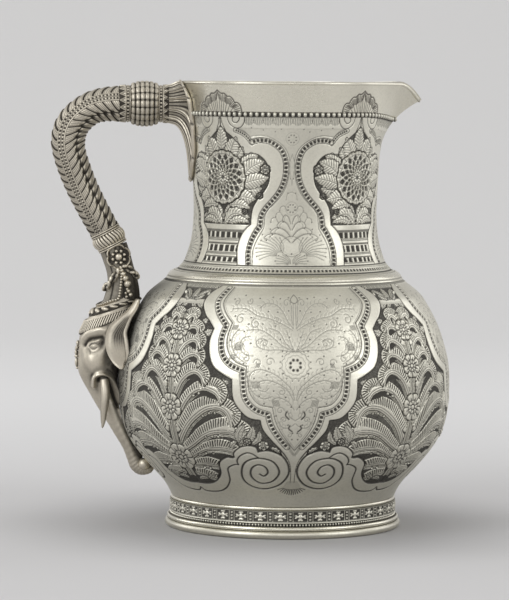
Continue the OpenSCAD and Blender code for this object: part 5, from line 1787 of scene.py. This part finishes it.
def ear(name, sign, node):
    """Ear: a hollowed leaf of metal with a thin front edge and a thick rolled rear edge."""
    rows = smooth(EAR_ROWS, 10)
    count, half = len(rows), 48
    front = np.stack([rows[:, 1], rows[:, 2], rows[:, 0]], -1)
    rear = np.stack([rows[:, 3], rows[:, 4], rows[:, 0]], -1)
    across = rear - front
    up = np.gradient((front + rear) / 2, axis=0)
    face = unit(np.cross(unit(across), unit(up)))
    face = np.where(face[:, :1] > 0, -face, face)
    share = np.linspace(0, 1, half)[None]
    run = np.linspace(0, 1, count)[:, None]
    taper = np.sqrt(np.clip(np.sin(math.pi * np.clip(run * 0.97 + 0.015, 0, 1)), 0, 1))
    edge = bump(share, 0, 0.055)
    roll = bump(share, 0.90, 0.085)
    hollow = np.sin(math.pi * np.clip(share / 0.86, 0, 1)) ** 0.8
    depth = 1.9 - 0.9 * step(run, 0.4, 0.8)
    tip = bump(run, 1, 0.07)
    bulge = 0.55 * edge + 1.25 * roll * (1 - 0.5 * tip) - depth * hollow * (1 - tip)
    top = front[:, None] + across[:, None] * share[0][None, :, None] + face[:, None] * (bulge * taper)[...,
                                                                                                       None]
    thick = 0.3 + 0.7 * np.sin(math.pi * share) ** 0.4
    under = top - face[:, None] * thick[..., None]
    ring = np.concatenate([top, under[:, ::-1]], 1)
    ring[..., 1] *= sign
    ring = clear_body(ring)
    # Painted light and shade: the upper hollow painted dark with streaks and the rolled rear rim painted
    # lighter, as the light falls; a painted shade line inside the rim over its upper part; and painted
    # shadow on the rear lip beside the body and on the ear's underside.
    deep = fade(run, 0.50, 0.74) * step(run, 0.12, 0.26) * fade(np.abs(share - 0.5), 0.18, 0.44)
    streaks = 0.12 * np.sin(share * 60 + 3 * np.sin(run * 14))
    shade = np.clip(0.62 * deep + streaks * deep - 0.1 * roll, 0.02, 0.92)
    shade = np.maximum(shade, 0.7 * bump(share, 0.80, 0.05) * fade(run, 0.7, 0.9))
    shade = np.maximum(shade, 0.75 * step(share, 0.965, 0.99))
    dark = np.concatenate([shade + 0 * run, np.full((count, half), 0.88)], 1)
    obj = wrapped(name, ring, np.zeros(ring.shape[:2]), dark)
    return on_handle(obj, node)


# X, Y, Z and share of the full thickness along a tusk
TUSK_PATH = [(-90.5, -9.0, 75.5, 0.9), (-89.9, -10.6, 71, 1), (-89.5, -11.4, 66.6, 1),
             (-89.7, -11.4, 62.5, 0.93), (-90.1, -10.9, 57.9, 0.73), (-90.4, -10.3, 53.1, 0.5),
             (-90.9, -9.7, 49.2, 0.2)]


def bar_rings(points, radii, sides, side=UP):
    """Rings of a round bar along 3-D points. side must not lie along the bar."""
    along = unit(np.gradient(points, axis=0))
    u = unit(np.cross(along, side))
    v = np.cross(u, along)
    t = circle(sides)[None, :, None]
    return points[:, None] + radii[:, None, None] * (u[:, None] * np.cos(t) + v[:, None] * np.sin(t))


def tusk(name, sign, node):
    """Smooth tusk, dark where it leaves the skin, with painted shade down its -X side."""
    path = smooth(TUSK_PATH, 8)
    share = np.linspace(0, 1, len(path))
    radii = 2.3 * path[:, 3] * np.sqrt(np.clip(1 - np.clip((share - 0.92) / 0.08, 0, 1) ** 2, 0.02, 1))
    ring = bar_rings(path[:, :3] * (1, sign, 1), radii, 40, side=FORWARD)
    dark = np.full(ring.shape[:2], 0.04)
    dark[share < 0.10] = 0.85
    # Painted shade down the -X side of the tusk.
    offset = (ring[..., 0] - path[:, None, 0]) / radii[:, None]
    dark = np.maximum(dark, 0.6 * step(-offset, 0.75, 1.0))
    on_handle(wrapped(name, ring, np.zeros(ring.shape[:2]), dark), node)


def string_beads(name, path, radii, node, spacing=1.9, stretch=1.0, side=UP, strands=0):
    """Beads along an open path with a thin cord through them. radii may grow along the path.
    strands sets that many strands turning round each other."""
    run = lengths(path)
    radii = np.atleast_1d(np.asarray(radii, float))
    growth = np.linspace(0, 1, len(radii))
    at, size, here = [], [], 0.0
    while here <= run[-1]:
        at.append(here)
        size.append(np.interp(here / run[-1], growth, radii))
        here += spacing * size[-1] * stretch
    at = np.array(at)

    def point(distance):
        return np.stack([np.interp(distance, run, path[:, i]) for i in range(3)], -1)

    spots = point(at)
    along = unit(point(np.minimum(at + 0.1, run[-1])) - point(np.maximum(at - 0.1, 0)))
    u = unit(np.cross(along, side))
    v = np.cross(u, along)
    centres, frames, sizes = [], [], []
    for k, r in enumerate(size):
        if not strands:
            centres.append(spots[k])
            frames.append((along[k], v[k], u[k]))
            sizes.append((r * stretch, r, r))
        for strand in range(strands):
            turn = math.pi * k / 2.6 + 2 * math.pi * strand / strands
            away = u[k] * math.cos(turn) + v[k] * math.sin(turn)
            lean = unit(along[k] + 0.75 * (v[k] * math.cos(turn) - u[k] * math.sin(turn)))
            centres.append(spots[k] + 0.62 * r * away)
            frames.append((lean, np.cross(away, lean), away))
            sizes.append((1.05 * r * stretch, 0.62 * r, 0.62 * r))
    # The cord is painted near black, as the shade and patina between the beads.
    cord = bar_rings(path, np.interp(np.linspace(0, 1, len(path)), growth, radii) * 0.5, 8, side)
    rings, sides = cord.shape[:2]
    verts = np.vstack([cord.reshape(-1, 3), cord[0].mean(0), cord[-1].mean(0)])
    extra = (verts, [grid_faces(rings, sides, True), cap_faces(rings, sides)], np.full(len(verts), 0.95))
    on_handle(beads(name, centres, frames, sizes, bead_shape(8, 12), extra), node)


def head_band(name, low, high, lift, pattern, node, rows=22, sides=420):
    """Closed band round the head between two stations: a patterned outer face over a plain inner
    one. pattern(share across the band, angle) gives height and patina."""
    face = head_rings(head_station(np.linspace(low, high, rows)), sides)
    n, inward = outward_normals(face)
    t = circle(sides)
    share = np.linspace(0, 1, rows)[:, None]
    height, dark = pattern(share + 0 * t, t[None] + 0 * share)
    outer = clear_body(face + n * (lift + height)[..., None])
    inner = clear_body(face[[-1, 0]] - n[[-1, 0]] * 0.3)
    ring = np.concatenate([outer, inner])
    faces = torus_faces(len(ring), sides)
    if inward:
        faces = faces[:, ::-1]
    shade = np.concatenate([dark, np.full((2, sides), 0.8)])
    on_handle(make_mesh(name, ring.reshape(-1, 3), [faces], shade.ravel(), sharp=60), node)


def headdress():
    """Fringe and rope bands round the head, and a string of beads over the brow."""

    def fringe(share, t):
        strands = 64
        wave = np.abs(np.sin(strands * t / 2))
        ends = step(share, 0.0, 0.12) * fade(share, 0.86, 1.0)
        cap = fade(share, 0.06, 0.16)
        lower = step(share, 0.9, 0.97)
        height = 0.42 * wave ** 0.7 * ends + 0.35 * cap
        dark = (0.97 - 0.87 * step(wave, 0.42, 0.75)) * (1 - cap) + 0.1 * cap
        return height, np.maximum(dark, 0.97 * lower)

    def rope(share, t):
        count = 16
        phase = (count * t / (2 * math.pi) + 0.55 * share) % 1
        u = (phase - 0.5) * 2
        w = (share - 0.5) * 2
        body = np.clip(1 - (u * 1.02) ** 2 - ((w + 0.5 * u) * 1.5) ** 2, 0, 1)
        return 1.35 * np.sqrt(body) - 0.1, 0.95 - 0.9 * step(body, 0.08, 0.45)

    head_band("headdress_strands", 2.0, 3.0, 0.35, fringe, "headdress_fringe")
    head_band("headdress_rope_beads", 1.0, 1.6667, 0.2, rope, "headdress_rope", 20, 360)

    def on_head(station, angle, lift):
        """Point above the head's surface. The angle runs from its front toward +Y."""
        row = head_station(station)
        front, back = row[:2], row[2:4]
        depth = np.linalg.norm(front - back) / 2 + lift
        x, z = (front + back) / 2 + unit(front - back) * depth * math.cos(math.radians(angle))
        return x, (row[4] + lift) * math.sin(math.radians(angle)), z

    half = [(-82.0, -8.2, 129), (-81.8, -8.0, 124), (-82.2, -8.3, 119.2)] + [
        on_head(at, -a, 0.8) for at, a in [(0.0, 80), (0.25, 66), (0.45, 48), (0.6, 25), (0.667, 0)]]
    half = smooth(half, 8)
    other = half[::-1][1:] * (1, -1, 1)
    string_beads("brow_beads", np.vstack([half, other]), 0.72, "headdress_beads", 1.95, side=FORWARD)


ROSETTE_X, ROSETTE_Z = -83.2, 134.5


def side_frames(sign, count):
    """Frames of beads that face one side, +Y or -Y."""
    return [(FORWARD, (0, 0, sign), (0, sign, 0))] * count


def rosette(name, sign, node):
    """Rosette: six cupped petals with raised rims, a ring of pearls and a large pearl."""
    sides, rows = 144, 40
    t = circle(sides)[None]
    q = np.linspace(0.02, 1, rows)[:, None]
    wave = np.abs(np.sin(3 * t))
    edge = 6.4 * (0.84 + 0.16 * wave ** 0.5)
    r = q * edge
    rim = bump(q, 0.92, 0.07)
    seam = fade(wave, 0.05, 0.3) * step(q, 0.5, 0.7)
    height = 0.55 + 0.6 * rim - 0.5 * step(q, 0.5, 0.62) * (1 - rim) - 0.3 * seam
    x = ROSETTE_X + r * np.cos(t)
    z = ROSETTE_Z + r * np.sin(t)
    top = np.stack([x, sign * (6.5 + height) + 0 * x, z], -1)
    back = np.stack([x[[-1, 0]], 0 * x[[-1, 0]] + sign * 4.2, z[[-1, 0]]], -1)
    dark = np.where(rim > 0.35, 0.05, 0.93) + 0 * t
    dark = np.concatenate([dark, np.full((2, sides), 0.8)])
    on_handle(tube(name, np.concatenate([top, back]), dark, 0.5, 50, sign > 0), node)
    spots = [(ROSETTE_X, sign * 7.3, ROSETTE_Z)]
    sizes = [(1.75, 1.75, 1.2)]
    for k in range(8):
        a = 2 * math.pi * (k + 0.5) / 8
        spots.append((ROSETTE_X + 3.1 * math.cos(a), sign * 7.2, ROSETTE_Z + 3.1 * math.sin(a)))
        sizes.append((0.78, 0.78, 0.75))
    on_handle(beads(name + "_pearls", spots, side_frames(sign, 9), sizes, bead_shape(8, 14)), node)


def swags_and_pendants():
    """Twisted bead swags before and behind the stem, and a drop with a cluster on each side."""
    outer = [(-83.4, -7.6, 127.6), (-85.8, -7.2, 123.8), (-88.2, -5.0, 120.4), (-89.8, 0, 118.4)]
    inner = [(-80.2, -7.4, 130), (-77.2, -6.2, 128), (-74.9, -3.8, 125.6), (-74.0, 0, 124.4)]
    for name, half, node in (("outer_swag_beads", outer, "outer_swag"),
                             ("inner_swag_beads", inner, "inner_swag")):
        path = smooth(half + [(x, -y, z) for x, y, z in half[::-1][1:]], 8)
        string_beads(name, path, 1.45, node, 1.55, 1.15, strands=2)
    for name, sign, node in (("left_drop", -1, "left_pendant"), ("right_drop", 1, "right_pendant")):
        path = np.array([(-82.2, sign * 7.5, 129.4), (-81, sign * 7.8, 126.6), (-79.4, sign * 8.2, 123.2),
                         (-78.6, sign * 8.3, 120.8)])
        string_beads(name, smooth(path, 6), [0.85, 1.95], node, 1.9, side=(-sign, 0, 0))
        cluster = [(-78.2, 117.6, 0.95), (-77.2, 115.8, 1.05), (-79.6, 116.6, 0.7), (-79.2, 114.8, 0.75),
                   (-78.9, 118.6, 0.7)]
        spots = [(x, sign * (8.6 + 0.1 * r), z) for x, z, r in cluster]
        sizes = [(r, r, r) for _, _, r in cluster]
        on_handle(beads(name + "_cluster", spots, side_frames(sign, 5), sizes, bead_shape(8, 12)), node)


def jewel():
    """Hanging ornament on the forehead: a boss, a stem of small beads and a drop."""
    spots = [(-103.9, 0, 90.9, 1.9, 1.5), (-104.5, 0, 88.2, 1.0, 1.0), (-104.7, 0, 86.3, 1.35, 1.2),
             (-104.7, 0, 84.4, 0.9, 0.9), (-104.5, 0, 81.4, 1.5, 2.4), (-104.0, 0, 78.6, 0.7, 0.7),
             (-104.2, -1.6, 88.9, 0.7, 0.7), (-104.2, 1.6, 88.9, 0.7, 0.7), (-104.3, -1.7, 84.6, 0.7, 0.7),
             (-104.3, 1.7, 84.6, 0.7, 0.7)]
    centres = [(x + 0.75, y, z) for x, y, z, _, _ in spots]
    frames = [((0, 1, 0), (0, 0, -1), (-1, 0, 0))] * len(spots)
    sizes = [(w, h, 0.95) for _, _, _, w, h in spots]
    on_handle(beads("brow_jewel", centres, frames, sizes, bead_shape(8, 12)), "forehead_jewel")


braided_grip()
melon_knob()
for name, low, high, node in (("socket_beading", -61.4, -63.7, "socket_bead_ring"),
                              ("grip_beading", -77.8, -80.1, "grip_bead_ring")):
    turned(name, np.linspace(low, high, 22), np.full(22, 8.85), studded(31, low, high), node, 310)
turned("grip_teeth", np.linspace(-79.95, -83.9, 36), np.linspace(8.7, 8.45, 36),
       teeth(16, -80.3, -83.5, 1.0),
       "grip_tooth_ring", 320)
turned("socket_teeth", np.linspace(-61.5, -58.7, 28), np.linspace(8.75, 9.1, 28),
       teeth(18, -61.2, -59.0, 1.0),
       "socket_tooth_ring", 324)
socket()
reeded_parts()
stem()
elephant_head()
ear("left_ear_leaf", 1, "left_ear")
ear("right_ear_leaf", -1, "right_ear")
tusk("left_tusk_horn", 1, "left_tusk")
tusk("right_tusk_horn", -1, "right_tusk")
# The pearl's painted highlight faces -Y, toward the camera.
pearl = beads("trunk_pearl", [(-70.0, -2.2, 30.4)], [(FORWARD, UP, (0, -1, 0))], [(3.2, 3.2, 3.2)],
              bead_shape(16, 28))
on_handle(pearl, "trunk_ball")
headdress()
rosette("left_rosette_petals", -1, "left_rosette")
rosette("right_rosette_petals", 1, "right_rosette")
swags_and_pendants()
jewel()
